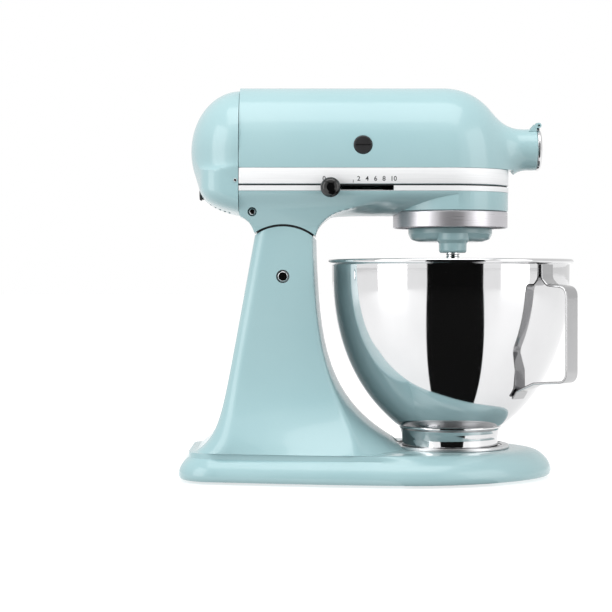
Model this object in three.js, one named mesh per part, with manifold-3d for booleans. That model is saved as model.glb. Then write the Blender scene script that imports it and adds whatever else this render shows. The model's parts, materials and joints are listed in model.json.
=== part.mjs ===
// Stand mixer with a tilting head, a twist-lock steel bowl and a geared planetary drive.
// Millimetres, +Z up, +X towards the front of the machine (the power hub), origin on the table
// under the middle of the machine. The planetary axis and the bowl axis are one vertical line.
import * as THREE from 'three';
import { mergeVertices } from 'three/addons/utils/BufferGeometryUtils.js';
import Module from 'manifold-3d';

const wasm = await Module();
wasm.setup();

// ---------------------------------------------------------------- driving dimensions

const GAP = 0.3; // clearance between pieces that touch
const HALF_TURN = Math.PI;
const QUARTER = Math.PI / 2;

const BOWL_X = 66.5; // bowl axis and planetary axis

const base = {
  frontCentreX: 27.5, frontReach: 130.5, halfWidth: 99.5, frontPower: 1.85,
  rearX: -177.5, rearRadius: 35, taper: 0.0168, taperPower: 1.43,
  bottom: 2.5, top: 26.5, wall: 5, footHeight: 5, footRadius: 9,
};

const column = {
  topRearX: -109.9, topZ: 219, rearSlope: 0.181, topHalfWidth: 38, sideSlope: 0.02,
  frontX: -56, frontFlare: 77.5, frontFlareZ: 32, frontFlareLength: 42,
  sideFlare: 50, sideFlareZ: 26, sideFlareLength: 35,
  rearFlare: 30, rearFlareZ: 20, rearFlareLength: 13, wall: 5,
};

const hinge = {
  x: -85, z: 181.5, pinRadius: 4.7, eyeRadius: 11.5, columnArc: 44.3, neckArc: 46.3,
  tongueHalfWidth: 20, tongueFront: -31, tongueRear: -17, slotFront: -36, slotRear: 28,
};

const head = {
  seamX: -123.5, domeX: 58.5, domeReach: 60.5, halfWidth: 54, wall: 3,
  archZ: 277, archHeight: 74.6, archPower: 2.2,
  splitZ: 262, boatZ: 256.5, boatDepth: 20.5, boatPower: 1.7, bandThickness: 1.2,
};

const rear = {
  reach: 44.8, halfWidth: 54, centreZ: 294, height: 55,
  skirtReach: 36.5, skirtHalfWidth: 53.5, skirtTop: 272, skirtBottom: 236.5, skirtRise: 0.28,
};

const nose = { z: 296.2, radius: 18.6, bore: 14.3, frontX: 143.8, rootX: 104, flare: 14 };

const bowl = {
  rimRadius: 108.9, rimZ: 195, bead: 2, wallRadius: 107.3, wallTopZ: 182.5, wall: 1.4,
  creaseRadius: 49.2, creaseZ: 47.7, footTop: 46.6, footRadius: 45, footWaist: 43.4,
  footBottom: 27.7, tabReach: 50, tabThickness: 0.6,
};

const handle = { width: 16, thickness: 2, angle: -45, gripRadius: 135.2, topZ: 173.5, lowZ: 89.7 };

const clamp = { outer: 53.5, inner: 47, floorZ: 26.8, floor: 0.6, lip: 0.9, top: 29.5, screws: 25 };

const orbit = 28; // beater shaft to planetary axis
const ringTeeth = 47;
const planetTeeth = 14;
const ringPitchRadius = (orbit * ringTeeth) / (ringTeeth - planetTeeth);
const planetPitchRadius = ringPitchRadius - orbit;

const centreTeeth = 32;
const drivePinionTeeth = 16;
const driveModule = 2.0625;
const wormWheelY = 26;
const driveDistance = (driveModule * (centreTeeth + drivePinionTeeth)) / 2;
const wormWheelX = BOWL_X - Math.sqrt(driveDistance ** 2 - wormWheelY ** 2);

const toothShare = 0.42; // how much of its pitch a tooth takes, which leaves a generous backlash
const bevelTeeth = 16;
const bevelPitchRadius = 16;
const bevelToothShare = 0.32;
const bevelSetback = 0.4; // how far each bevel gear stands back from the common cone point
const armatureZ = 297;

const knob = { radius: 8.9, x: -43, z: 259.3, travel: 53 };
const brushX = -14.3;
const neckScrew = { x: -112, z: 238.6 };

// ---------------------------------------------------------------- finishes

const finishes = {
  enamel: { color: 0xa3c8cb, roughness: 0.18, metalness: 0 },
  polished: { color: 0xd5d7d8, roughness: 0.06, metalness: 1 },
  brushed: { color: 0xc9cacb, roughness: 0.35, metalness: 1 },
  steel: { color: 0x9fa3a6, roughness: 0.4, metalness: 1 },
  black: { color: 0x161618, roughness: 0.25, metalness: 0 },
  rubber: { color: 0x2a2a2a, roughness: 0.85, metalness: 0 },
  copper: { color: 0xb4653a, roughness: 0.4, metalness: 1 },
  nylon: { color: 0xdad6c8, roughness: 0.6, metalness: 0 },
  board: { color: 0x2f5d3a, roughness: 0.6, metalness: 0 },
};

// ---------------------------------------------------------------- solids

/** Volume inside a triangle surface, negative when its faces point inwards. */
function signedVolume(positions, index) {
  const a = new THREE.Vector3();
  const b = new THREE.Vector3();
  const c = new THREE.Vector3();
  let volume = 0;
  for (let i = 0; i < index.length; i += 3) {
    a.fromArray(positions, index[i] * 3);
    b.fromArray(positions, index[i + 1] * 3);
    c.fromArray(positions, index[i + 2] * 3);
    volume += a.dot(b.cross(c)) / 6;
  }
  return volume;
}

/** A closed surface with shared corners merged, empty triangles dropped and faces pointing out. */
function closed(geometry) {
  const bare = geometry.clone();
  bare.deleteAttribute('normal');
  bare.deleteAttribute('uv');
  const merged = mergeVertices(bare, 1e-4);
  const old = merged.index.array;
  const kept = [];
  for (let i = 0; i < old.length; i += 3) {
    const [a, b, c] = [old[i], old[i + 1], old[i + 2]];
    if (a !== b && b !== c && c !== a) kept.push(a, b, c);
  }
  if (signedVolume(merged.attributes.position.array, kept) < 0) {
    for (let i = 0; i < kept.length; i += 3) [kept[i], kept[i + 1]] = [kept[i + 1], kept[i]];
  }
  merged.setIndex(kept);
  return merged;
}

/** A manifold solid of a closed geometry. */
function solid(geometry) {
  const shape = closed(geometry);
  return new wasm.Manifold(new wasm.Mesh({
    numProp: 3,
    vertProperties: Float32Array.from(shape.attributes.position.array),
    triVerts: Uint32Array.from(shape.index.array),
  }));
}

/** The geometry of a manifold solid. */
function geometryOf(shape) {
  const mesh = shape.getMesh();
  const geometry = new THREE.BufferGeometry();
  geometry.setAttribute('position', new THREE.BufferAttribute(mesh.vertProperties, 3));
  geometry.setIndex(new THREE.BufferAttribute(mesh.triVerts, 1));
  return geometry;
}

/** One body made of several. */
function join(first, ...others) {
  return geometryOf(others.reduce((sum, other) => sum.add(solid(other)), solid(first)));
}

/** A body with others cut away from it. */
function cut(first, ...others) {
  return geometryOf(others.reduce((rest, other) => rest.subtract(solid(other)), solid(first)));
}

/** What two bodies share. */
function meet(first, second) {
  return geometryOf(solid(first).intersect(solid(second)));
}

// ---------------------------------------------------------------- shapes

/** A block between two corners. */
function block(x0, x1, y0, y1, z0, z1) {
  const box = new THREE.BoxGeometry(x1 - x0, y1 - y0, z1 - z0);
  return box.translate((x0 + x1) / 2, (y0 + y1) / 2, (z0 + z1) / 2);
}

/** A body turned about the vertical axis; the profile is a closed list of [radius, height]. */
function turned(profile, segments = 32, x = 0, y = 0) {
  const points = [...profile, profile[0]].map(([r, z]) => new THREE.Vector2(r, z));
  return new THREE.LatheGeometry(points, segments).rotateX(QUARTER).translate(x, y, 0);
}

/** The same body lying along X, with its profile as [radius, x]. */
function turnedAlongX(profile, segments, z, y = 0) {
  return turned(profile, segments).rotateY(QUARTER).translate(0, y, z);
}

/** The same body lying along Y, with its profile as [radius, y]. */
function turnedAlongY(profile, segments, x, z) {
  return turned(profile, segments).rotateX(-QUARTER).translate(x, 0, z);
}

/** A plain round bar profile, or a tube profile where it has a bore. */
function bar(radius, low, high, bore = 0) {
  return [[bore, low], [radius, low], [radius, high], [bore, high]];
}

/** A flat shape given thickness between two heights. */
function plate(shape, low, high, curveSegments = 12) {
  const settings = { depth: high - low, bevelEnabled: false, curveSegments };
  return new THREE.ExtrudeGeometry(shape, settings).translate(0, 0, low);
}

/** A side outline in the X-Z plane given thickness between two Y values. */
function sidePlate(points, y0, y1) {
  const shape = new THREE.Shape(points.map(([x, z]) => new THREE.Vector2(x, z)));
  return plate(shape, -y1, -y0).rotateX(QUARTER);
}

/** A closed surface of rings: place(angle, v) gives the point at an angle on the ring v, 0 to 1. */
function loft(around, along, place) {
  const geometry = new THREE.CylinderGeometry(1, 1, 1, around, along);
  const position = geometry.attributes.position;
  const ends = [0, 1].map((v) => {
    const middle = new THREE.Vector3();
    for (let i = 0; i < around; i += 1) middle.add(place((i * 2 * HALF_TURN) / around, v));
    return middle.divideScalar(around);
  });
  for (let i = 0; i < position.count; i += 1) {
    const [x, y, z] = [position.getX(i), position.getY(i), position.getZ(i)];
    const v = y + 0.5;
    const onAxis = Math.hypot(x, z) < 0.5;
    const turn = Math.round((Math.atan2(x, z) / (2 * HALF_TURN)) * around);
    const angle = (((turn + around) % around) * 2 * HALF_TURN) / around;
    const point = onAxis ? ends[Math.round(v)] : place(angle, Math.round(v * along) / along);
    position.setXYZ(i, point.x, point.y, point.z);
  }
  return geometry;
}

/** Distance from a start point to the edge of a region along a direction. */
function reach(inside, start, direction, far = 400) {
  let low = 0;
  let high = far;
  const point = new THREE.Vector3();
  for (let step = 0; step < 36; step += 1) {
    const middle = (low + high) / 2;
    point.copy(start).addScaledVector(direction, middle);
    if (inside(point)) low = middle;
    else high = middle;
  }
  return low;
}

const mix = THREE.MathUtils.lerp;

// ---------------------------------------------------------------- base casting

/** Half width of the foot plate behind its widest place. */
function plateHalfWidth(x) {
  return base.halfWidth - base.taper * Math.max(base.frontCentreX - x, 0) ** base.taperPower;
}

// The outline of each level has four stretches on each side: front, side, corner and rear.
// The shares say how much of a half turn each takes.
const stretches = [['front', 7], ['side', 5], ['corner', 3], ['rear', 1]];
const halfSteps = stretches.reduce((sum, [, steps]) => sum + steps, 0);

/** The stretch and the place in it, 0 to 1, for a place on the half outline, 0 to 1. */
function stretchAt(s) {
  let rest = s * halfSteps;
  for (const [name, steps] of stretches) {
    if (rest <= steps + 1e-9) return [name, rest / steps];
    rest -= steps;
  }
  return ['rear', 1];
}

/** Plan outline of the foot plate on its +Y half. */
function platePlan(s) {
  const [name, t] = stretchAt(s);
  const cornerX = base.rearX + base.rearRadius;
  const cornerY = plateHalfWidth(cornerX) - base.rearRadius;
  if (name === 'front') {
    const power = 2 / base.frontPower;
    return [base.frontCentreX + base.frontReach * Math.cos(t * QUARTER) ** power,
      base.halfWidth * Math.sin(t * QUARTER) ** power];
  }
  if (name === 'side') {
    const x = mix(base.frontCentreX, cornerX, t);
    return [x, plateHalfWidth(x)];
  }
  if (name === 'corner') {
    return [cornerX - base.rearRadius * Math.sin(t * QUARTER),
      cornerY + base.rearRadius * Math.cos(t * QUARTER)];
  }
  return [base.rearX, cornerY * (1 - t)];
}

/** The plan outline moved inwards by a distance. */
function platePlanInset(s, inset) {
  const step = 1e-3;
  const [x0, y0] = s < step ? [platePlan(step)[0], -platePlan(step)[1]] : platePlan(s - step);
  const ahead = platePlan(1 - step);
  const [x1, y1] = s > 1 - step ? [ahead[0], -ahead[1]] : platePlan(s + step);
  const length = Math.hypot(x1 - x0, y1 - y0);
  const [x, y] = platePlan(s);
  return [x - (inset * (y1 - y0)) / length, y + (inset * (x1 - x0)) / length];
}

/** Outline of the column and its flared foot at a height, on its +Y half. */
function columnPlan(s, z, inset = 0) {
  const [name, t] = stretchAt(s);
  const foot = Math.exp(-(z - base.top) / 20);
  const frontX = column.frontX - inset
    + column.frontFlare * Math.exp(-(z - column.frontFlareZ) / column.frontFlareLength);
  const rearX = column.topRearX + inset - column.rearSlope * (column.topZ - z)
    - column.rearFlare * Math.exp(-(z - column.rearFlareZ) / column.rearFlareLength);
  const halfWidth = column.topHalfWidth - inset + column.sideSlope * (column.topZ - z)
    + column.sideFlare * Math.exp(-(z - column.sideFlareZ) / column.sideFlareLength);
  const crown = 4 + 56 * foot;
  const radius = 11 + 19 * foot;
  const side = (x) => halfWidth * mix(1, plateHalfWidth(x) / plateHalfWidth(frontX), foot);
  const cornerX = rearX + radius;
  const cornerY = side(cornerX) - radius;
  if (name === 'front') return [frontX - crown * t * t, halfWidth * t];
  if (name === 'side') {
    const x = mix(frontX - crown, cornerX, t);
    return [x, side(x)];
  }
  if (name === 'corner') {
    return [cornerX - radius * Math.sin(t * QUARTER), cornerY + radius * Math.cos(t * QUARTER)];
  }
  return [rearX, cornerY * (1 - t)];
}

// Levels of the casting: the rounded edge of the plate, its flat top, and the column.
const plateLevels = [[2.5, 2], [6.5, 0], [13, 1.6], [20, 6.5], [25, 14], [26.5, 24]];
const columnHeights = [26.9, 31, 38, 48, 62, 82, 110, 150, 230];
const edgeInset = 10; // at the sides and the rear the column's foot runs into the plate's edge

/** A point of the casting's outside, s along the whole outline and a level number. */
function castingPoint(angle, level) {
  const turn = angle / (2 * HALF_TURN);
  const s = turn <= 0.5 ? turn * 2 : 2 - turn * 2;
  const side = turn <= 0.5 ? 1 : -1;
  if (level >= plateLevels.length) {
    const z = columnHeights[level - plateLevels.length];
    const [x, y] = columnPlan(s, z);
    return new THREE.Vector3(x, side * y, z);
  }
  const [z, inset] = plateLevels[level];
  const atFront = THREE.MathUtils.smoothstep(platePlan(s)[0], -10, 60);
  const [x, y] = platePlanInset(s, mix(Math.min(inset, edgeInset - 1), inset, atFront));
  return new THREE.Vector3(x, side * y, z);
}

/** A round bar across the machine at the hinge. */
function hingeRound(radius, y0, y1, segments = 32) {
  return turnedAlongY(bar(radius, y0, y1), segments, hinge.x, hinge.z);
}

/** A wedge of the X-Z plane from the hinge axis out, between two angles in front of upright. */
function hingeWedge(frontDegrees, rearDegrees, radius, y0, y1) {
  const points = [[hinge.x, hinge.z]];
  for (let i = 0; i <= 6; i += 1) {
    const angle = THREE.MathUtils.degToRad(mix(frontDegrees, rearDegrees, i / 6));
    points.push([hinge.x - radius * Math.sin(angle), hinge.z + radius * Math.cos(angle)]);
  }
  return sidePlate(points, y0, y1);
}

const lockBar = { x0: -66, x1: -61.5, z0: 194, z1: 201, travel: 8 };

const footPlaces = [[118, 0], [60, 66], [60, -66], [-130, 46], [-130, -46]];

/** The one-piece base: foot plate, column, bosses for the feet and the seat of the clamp plate. */
function baseCasting() {
  const levelCount = plateLevels.length + columnHeights.length;
  const outside = loft(halfSteps * 2, levelCount - 1,
    (angle, v) => castingPoint(angle, Math.round(v * (levelCount - 1))));
  const hollowRearX = -150;
  const hollowHalfWidth = 66;
  const hollowHeights = [20, 34, 52, 82, 150, 230];
  const hollow = loft(16, hollowHeights.length - 1, (angle, v) => {
    const z = hollowHeights[Math.round(v * (hollowHeights.length - 1))];
    const turn = angle / (2 * HALF_TURN);
    const [x, y] = columnPlan(turn <= 0.5 ? turn * 2 : 2 - turn * 2, z, column.wall);
    const narrow = Math.min(y, hollowHalfWidth);
    return new THREE.Vector3(Math.max(x, hollowRearX), turn <= 0.5 ? narrow : -narrow, z);
  });
  const ceiling = join(hingeRound(hinge.columnArc - 4, -80, 80, 24),
    block(-170, 10, -80, 80, 10, hinge.z));
  const underside = plate(new THREE.Shape(undersideOutline()), 0, base.top - base.wall);
  const [firstBoss, ...otherBosses] = footPlaces.map(([x, y]) => (
    turned(bar(7.5, base.footHeight, 80), 12, x, y)));
  const bosses = meet(outside, join(firstBoss, ...otherBosses));
  const arc = join(hingeRound(hinge.columnArc, -120, 120, 40),
    block(-200, 200, -120, 120, -10, hinge.z));
  const shell = cut(meet(outside, arc), meet(hollow, ceiling), underside,
    turned(bar(clamp.outer + 0.6, base.top, 60), 32, BOWL_X),
    hingeWedge(hinge.slotFront, hinge.slotRear, 60, -21.5, 21.5),
    hingeRound(hinge.pinRadius + GAP, -60, 60, 16),
    block(lockBar.x0 - lockBar.travel - 1, lockBar.x1 + 0.5, 25, 60, lockBar.z0 - 1, lockBar.z1 + 1));
  const bored = clampScrewPlaces().map(([x, y]) => turned(bar(2.3, 10, 40), 8, x, y));
  return cut(join(shell, bosses), ...bored);
}

/** Inner outline of the foot plate's underside. */
function undersideOutline() {
  const undersideInset = 16;
  const points = [];
  const steps = 16;
  for (let i = 0; i < steps; i += 1) {
    points.push(new THREE.Vector2(...platePlanInset(i / steps, undersideInset)));
  }
  const mirrored = points.slice(1).reverse().map((point) => new THREE.Vector2(point.x, -point.y));
  return [...points, new THREE.Vector2(base.rearX + undersideInset, 0), ...mirrored];
}

/** Places of the three screws of the clamp plate. */
function clampScrewPlaces() {
  return [0, 1, 2].map((i) => {
    const angle = (i * 2 * HALF_TURN) / 3;
    return [BOWL_X + clamp.screws * Math.cos(angle), clamp.screws * Math.sin(angle)];
  });
}

/** Ring that locks the bowl: a floor, a wall and a lip with three notches. */
function clampPlate() {
  const { outer, inner, floorZ, floor, lip, top } = clamp;
  const ring = turned([[10, floorZ], [outer, floorZ], [outer, top - 0.8], [outer - 0.8, top],
    [inner, top], [inner, top - lip], [outer - 1.5, top - lip], [outer - 1.5, floorZ + floor],
    [10, floorZ + floor]], 32, BOWL_X);
  const notches = bowlTabs(30, tabWidth + 4, 1, floorZ + floor + 0.2, top + 1);
  const holes = clampScrewPlaces().map(([x, y]) => turned(bar(2.3, 20, 40), 8, x, y));
  return cut(ring, ...notches, ...holes);
}

const tabWidth = 16;

/** Three blocks that stick out of the bowl's foot, turned by some degrees and enlarged. */
function bowlTabs(degrees, width, extra, low, high) {
  return [0, 1, 2].map((i) => {
    const angle = THREE.MathUtils.degToRad(degrees + i * 120);
    const tab = block(bowl.footWaist - 0.6, bowl.tabReach + extra, -width / 2, width / 2, low, high);
    return tab.rotateZ(angle).translate(BOWL_X, 0, 0);
  });
}

/** Rubber foot with a stem that plugs into its boss. */
function rubberFoot() {
  const { footRadius: r, footHeight: h } = base;
  return turned([[0, 0], [r - 1.5, 0], [r, 1.5], [r, h - GAP], [0, h - GAP]], 16);
}

/** Screw with a domed head and a plain shank, the head's seat at height 0. */
function screw(headRadius, headHeight, shankRadius, shankLength) {
  return turned([[0, -shankLength], [shankRadius, -shankLength], [shankRadius, 0], [headRadius, 0],
    [headRadius, headHeight * 0.4], [headRadius * 0.6, headHeight], [0, headHeight]], 8);
}

// ---------------------------------------------------------------- bowl

const bowlSide = new THREE.CubicBezierCurve(
  new THREE.Vector2(bowl.wallRadius, bowl.wallTopZ), new THREE.Vector2(107, 120),
  new THREE.Vector2(85, 75), new THREE.Vector2(bowl.creaseRadius, bowl.creaseZ),
);

/** A point of the bowl's outside, t from the top of its curve to the crease, with a stand-off. */
function bowlPoint(t, standOff) {
  const tangent = bowlSide.getTangent(t);
  const point = bowlSide.getPoint(t);
  return [point.x - tangent.y * standOff, point.y + tangent.x * standOff];
}

/** Place on the bowl's curve at a height. */
function bowlPlace(z) {
  let low = 0;
  let high = 1;
  for (let step = 0; step < 30; step += 1) {
    const middle = (low + high) / 2;
    if (bowlSide.getPoint(middle).y > z) low = middle;
    else high = middle;
  }
  return low;
}

/** Spun bowl with a rolled rim. */
function bowlShell() {
  const { rimRadius, rimZ, bead, wall, wallRadius, creaseRadius, creaseZ } = bowl;
  const outside = [];
  const inside = [];
  const steps = 7;
  for (let i = 0; i <= steps; i += 1) {
    outside.push(bowlPoint(i / steps, 0));
    inside.push(bowlPoint(i / steps, -wall));
  }
  const rim = [];
  for (let i = 0; i <= 4; i += 1) {
    const angle = THREE.MathUtils.degToRad(215 - i * 72.5);
    rim.push([rimRadius + bead * Math.cos(angle), rimZ + bead * Math.sin(angle)]);
  }
  const profile = [[0, creaseZ + 1], [creaseRadius - 6, creaseZ + 0.4], ...outside.reverse(),
    [wallRadius, rimZ - bead], ...rim.reverse(), ...inside.slice(0, -1),
    [creaseRadius - 6, creaseZ + wall + 1.2], [0, creaseZ + wall + 2]];
  return turned(profile, 36, BOWL_X);
}

/** Foot ring under the bowl, with the three tabs of its twist lock. */
function bowlFoot() {
  const { footTop: top, footRadius, footWaist, footBottom: low, tabThickness } = bowl;
  const ring = turned([[footWaist - 2, low], [footWaist, low], [footWaist, 34.6], [footRadius, 43],
    [footRadius + 1, top], [footRadius - 6, top], [footRadius - 6, top - 1.5],
    [footRadius - 2, 42], [footWaist - 2, 35]], 28, BOWL_X);
  return join(ring, ...bowlTabs(0, tabWidth, 0, low, low + tabThickness));
}

/** Strap handle bent from one strip: a tab on the wall, the grip, and a tab low on the wall. */
function bowlHandle() {
  const { width, thickness, gripRadius, topZ, lowZ } = handle;
  const standOff = thickness / 2 + GAP;
  const low = [0, 0.5, 1].map((k) => bowlPoint(bowlPlace(mix(87, 76, k)), standOff + 0.3));
  const wallSide = bowl.wallRadius + standOff + 0.2;
  const route = [[wallSide, bowl.rimZ - 3.5], [wallSide, topZ + 10], [110.5, topZ + 3.5],
    [116, topZ], [124, topZ - 1.6], [gripRadius - 0.6, topZ - 8],
    [gripRadius, topZ - 18], [gripRadius, 118], [gripRadius, lowZ + 14], [gripRadius - 3, lowZ + 4],
    [gripRadius - 12, lowZ], [108, lowZ], [97, lowZ - 0.2], ...low];
  const path = new THREE.CatmullRomCurve3(route.map(([r, z]) => new THREE.Vector3(r, 0, z)));
  const [w, t] = [width / 2, thickness / 2];
  const section = new THREE.Shape([new THREE.Vector2(-w, -t), new THREE.Vector2(w, -t),
    new THREE.Vector2(w, t), new THREE.Vector2(-w, t)]);
  const strap = new THREE.ExtrudeGeometry(section, { steps: 36, extrudePath: path });
  return strap.rotateZ(THREE.MathUtils.degToRad(handle.angle)).translate(BOWL_X, 0, 0);
}

// ---------------------------------------------------------------- head shells

/** Whether a point is inside the upper half of the head, made smaller by an inset. */
function insideArch(point, inset = 0) {
  if (point.z < head.boatZ - 8) return false;
  const u = Math.max(point.x - head.domeX, 0) / (head.domeReach - inset);
  const w = Math.abs(point.y) / (head.halfWidth - inset);
  const v = Math.max(point.z - head.archZ, 0) / (head.archHeight - inset);
  return (u * u + w * w) ** (head.archPower / 2) + v ** head.archPower < 1;
}

/** Whether a point is inside the lower, boat-shaped half of the head. */
function insideBoat(point, inset = 0) {
  if (point.z > head.splitZ + 8) return false;
  const u = Math.max(point.x - head.domeX, 0) / (head.domeReach - inset);
  const w = Math.abs(point.y) / (head.halfWidth - inset);
  const v = Math.max(head.boatZ - point.z, 0) / (head.boatDepth - inset * 1.6);
  return (u * u + w * w) ** (head.boatPower / 2) + v ** head.boatPower < 1;
}

/** A long body with a domed front: straight rings, then rays from the middle of the dome. */
function headBody(inside, axisZ, rearX, around, domeRings) {
  const start = new THREE.Vector3(head.domeX, 0, axisZ);
  const direction = new THREE.Vector3();
  const rings = domeRings + 1;
  return loft(around, rings, (angle, v) => {
    const ring = Math.round(v * rings);
    const polar = QUARTER * (1 - (ring - 1) / (domeRings + 0.2));
    const across = ring < 2 ? 1 : Math.sin(polar);
    direction.set(ring < 2 ? 0 : Math.cos(polar), across * Math.cos(angle), across * Math.sin(angle));
    const point = start.clone().addScaledVector(direction, reach(inside, start, direction));
    if (ring === 0) point.x = rearX;
    return point;
  });
}

/** Plan outline of the head's straight sides and round front. */
function headOutline(inset, rearX = head.seamX) {
  const side = head.halfWidth - inset;
  const shape = new THREE.Shape();
  shape.moveTo(rearX, -side);
  shape.lineTo(head.domeX, -side);
  shape.absellipse(head.domeX, 0, head.domeReach - inset, side, -QUARTER, QUARTER, false, 0);
  shape.lineTo(rearX, side);
  return shape;
}

/** A strip around the head between two heights and two insets, open at the rear. */
function headStrip(outer, inner, low, high, steps = 16) {
  return cut(plate(headOutline(outer), low, high, steps),
    plate(headOutline(inner, head.seamX - 5), low - 1, high + 1, steps));
}

const band = { low: head.splitZ + 1, high: head.archZ, stripTop: head.splitZ - 0.7 };

/** Upper shell of the head with the nose of the power hub. */
function motorHousing() {
  const outer = headBody((p) => insideArch(p), nose.z, head.seamX, 28, 6);
  const inner = headBody((p) => insideArch(p, head.wall), nose.z, head.seamX - 5, 20, 5);
  const root = [];
  for (let i = 0; i <= 3; i += 1) {
    const t = i / 3;
    root.push([nose.radius + nose.flare * (1 - t) ** 2, mix(nose.rootX, nose.rootX + 24, t)]);
  }
  const noseBody = turnedAlongX([[0, nose.rootX], ...root, [nose.radius, nose.frontX - 1],
    [nose.radius - 1, nose.frontX], [0, nose.frontX]], 24, nose.z);
  const lugs = [-8.5, 8.5].map((y) => join(
    block(nose.frontX - 9, nose.frontX - 0.3, y - 1.7, y + 1.7, nose.z + 15, capHinge.z),
    block(nose.frontX - 9, capHinge.x, y - 1.7, y + 1.7, capHinge.z - 2.3, capHinge.z + 2.2),
    turnedAlongY(bar(2.4, y - 1.7, y + 1.7), 12, capHinge.x, capHinge.z),
  ));
  const bandSeat = headStrip(-4, head.bandThickness + GAP, head.splitZ - 9, band.high + 0.2);
  const shell = cut(join(outer, noseBody, ...lugs), inner,
    turnedAlongX(bar(nose.bore, nose.rootX - 20, nose.frontX + 9), 20, nose.z),
    bandSeat, block(-200, 200, -80, 80, 200, head.splitZ + 0.7));
  const brushHoles = turnedAlongY(bar(8.4, -70, 70), 16, brushX, armatureZ);
  const knobHole = turnedAlongY(bar(3.3, 10, 40), 12, attachment.x, nose.z);
  const capPinHole = turnedAlongY(bar(1.2, -12, 12), 10, capHinge.x, capHinge.z);
  return cut(shell, brushHoles, knobHole, capPinHole);
}

/** Lower shell of the head: the boat, the round front boss, the neck and the hinge tongue. */
function gearCase() {
  const boat = headBody((p) => insideBoat(p), head.splitZ - 4, head.seamX, 28, 5);
  const boss = turned(bar(52.2, 240, head.splitZ + 2), 36, BOWL_X);
  const neck = neckBody();
  const tongue = join(hingeWedge(hinge.tongueFront, hinge.tongueRear, 50,
    -hinge.tongueHalfWidth, hinge.tongueHalfWidth),
  hingeRound(hinge.eyeRadius, -hinge.tongueHalfWidth, hinge.tongueHalfWidth, 20));
  const hollow = headBody((p) => insideBoat(p, 4), head.splitZ - 4, head.seamX + 4, 20, 4);
  const gearRoom = turned(bar(47, 243.5, head.splitZ + 9), 28, BOWL_X);
  const stripSeat = headStrip(-4, head.bandThickness + GAP, head.boatZ, head.splitZ + 9);
  const slot = block(knob.x - 2.6, knob.x + knob.travel + 2.6, -70, -40, knob.z - 2.2, knob.z + 2.2);
  const neckScrews = turnedAlongY(bar(4, 36, 60), 14, neckScrew.x, neckScrew.z);
  const neckScrewsNear = turnedAlongY(bar(4, -60, -36), 14, neckScrew.x, neckScrew.z);
  const shell = cut(join(boat, boss, neck), hollow, gearRoom, stripSeat, slot,
    block(-200, 200, -80, 80, band.stripTop, 300),
    turned(bar(12.3, 220, 250), 20, BOWL_X), turned(bar(52.2, 200, 240), 36, BOWL_X),
    neckScrews, neckScrewsNear, hingeRound(hinge.neckArc, -60, 60, 40));
  const notch = block(-80, -50, -6, 40, lockBar.z0 - 1, lockBar.z1 + 1.2);
  const bore = hingeRound(hinge.pinRadius + 0.5, -60, 60, 16);
  return cut(join(shell, tongue), notch, bore);
}

/** Neck under the head: a loft upwards from the column's top to the boat. */
function neckBody() {
  const heights = [212, 219, 225.5, 232, 238, 250];
  const rears = [-106, -109.7, -112.5, -118, -123.5, -123.5];
  const fronts = [-52, -56, -53, -46.5, -34, -10];
  const widths = [38, 38, 38.6, 40.5, 44, 46];
  return loft(24, heights.length - 1, (angle, v) => {
    const i = Math.round(v * (heights.length - 1));
    const middle = (rears[i] + fronts[i]) / 2;
    const half = (fronts[i] - rears[i]) / 2;
    const power = 2 / 7;
    const [c, s] = [Math.cos(angle), Math.sin(angle)];
    return new THREE.Vector3(middle + half * Math.sign(c) * Math.abs(c) ** power,
      widths[i] * Math.sign(s) * Math.abs(s) ** power, heights[i]);
  });
}

/** Whether a point is inside the rear cover: a half ellipsoid over a squared skirt. */
function insideRearCover(point, inset = 0) {
  const back = Math.max(head.seamX - point.x, 0);
  const round = (back / (rear.reach - inset)) ** 2
    + (Math.abs(point.y) / (rear.halfWidth - inset)) ** 2
    + ((point.z - rear.centreZ) / (rear.height - inset)) ** 2 < 1;
  const floor = rear.skirtBottom + inset + rear.skirtRise * back;
  const low = Math.max(floor + 16 - point.z, 0) / 16;
  const skirt = (back / (rear.skirtReach - inset)) ** 4
    + (Math.abs(point.y) / (rear.skirtHalfWidth - inset)) ** 4 + low ** 2.4 < 1;
  return round || (skirt && point.z < rear.skirtTop - inset && point.z > floor);
}

/** Rear cover: rays backwards from the middle of the seam. */
function rearCover() {
  const rings = 6;
  const body = (inset, startX, around) => {
    const start = new THREE.Vector3(startX, 0, 280);
    const direction = new THREE.Vector3();
    return loft(around, rings, (angle, v) => {
      const polar = QUARTER * (1 - (1 - v) * 0.97);
      direction.set(-Math.cos(polar), Math.sin(polar) * Math.cos(angle), Math.sin(polar) * Math.sin(angle));
      const inside = (p) => insideRearCover(p, inset);
      return start.clone().addScaledVector(direction, reach(inside, start, direction, 120));
    });
  };
  const outer = body(0, head.seamX, 28);
  const inner = body(3, head.seamX + 0.01, 20);
  return cut(outer, inner, block(head.seamX - 0.4, -90, -80, 80, 200, 400),
    turnedAlongX(bar(5.3, -175, -140), 16, gland.z));
}

const gland = { z: 256 };

// ---------------------------------------------------------------- gears and drive

/** Outline of a gear with plain sloped teeth; a negative depth points them inwards. */
function toothOutline(teeth, tip, root, share, shift = 0) {
  const pitch = (2 * HALF_TURN) / teeth;
  const corners = [[-share * 0.62, root], [-share * 0.36, tip], [share * 0.36, tip],
    [share * 0.62, root]];
  const points = [];
  for (let i = 0; i < teeth; i += 1) {
    for (const [step, radius] of corners) {
      const angle = (i + step) * pitch + shift;
      points.push(new THREE.Vector2(radius * Math.cos(angle), radius * Math.sin(angle)));
    }
  }
  return points;
}

/** Spur gear with a bore. */
function spurGear(teeth, tip, root, share, bore, low, high, shift = 0) {
  const shape = new THREE.Shape(toothOutline(teeth, tip, root, share, shift));
  shape.holes.push(new THREE.Path().absarc(0, 0, bore, 0, 2 * HALF_TURN, true));
  return plate(shape, low, high, 8);
}

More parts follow.
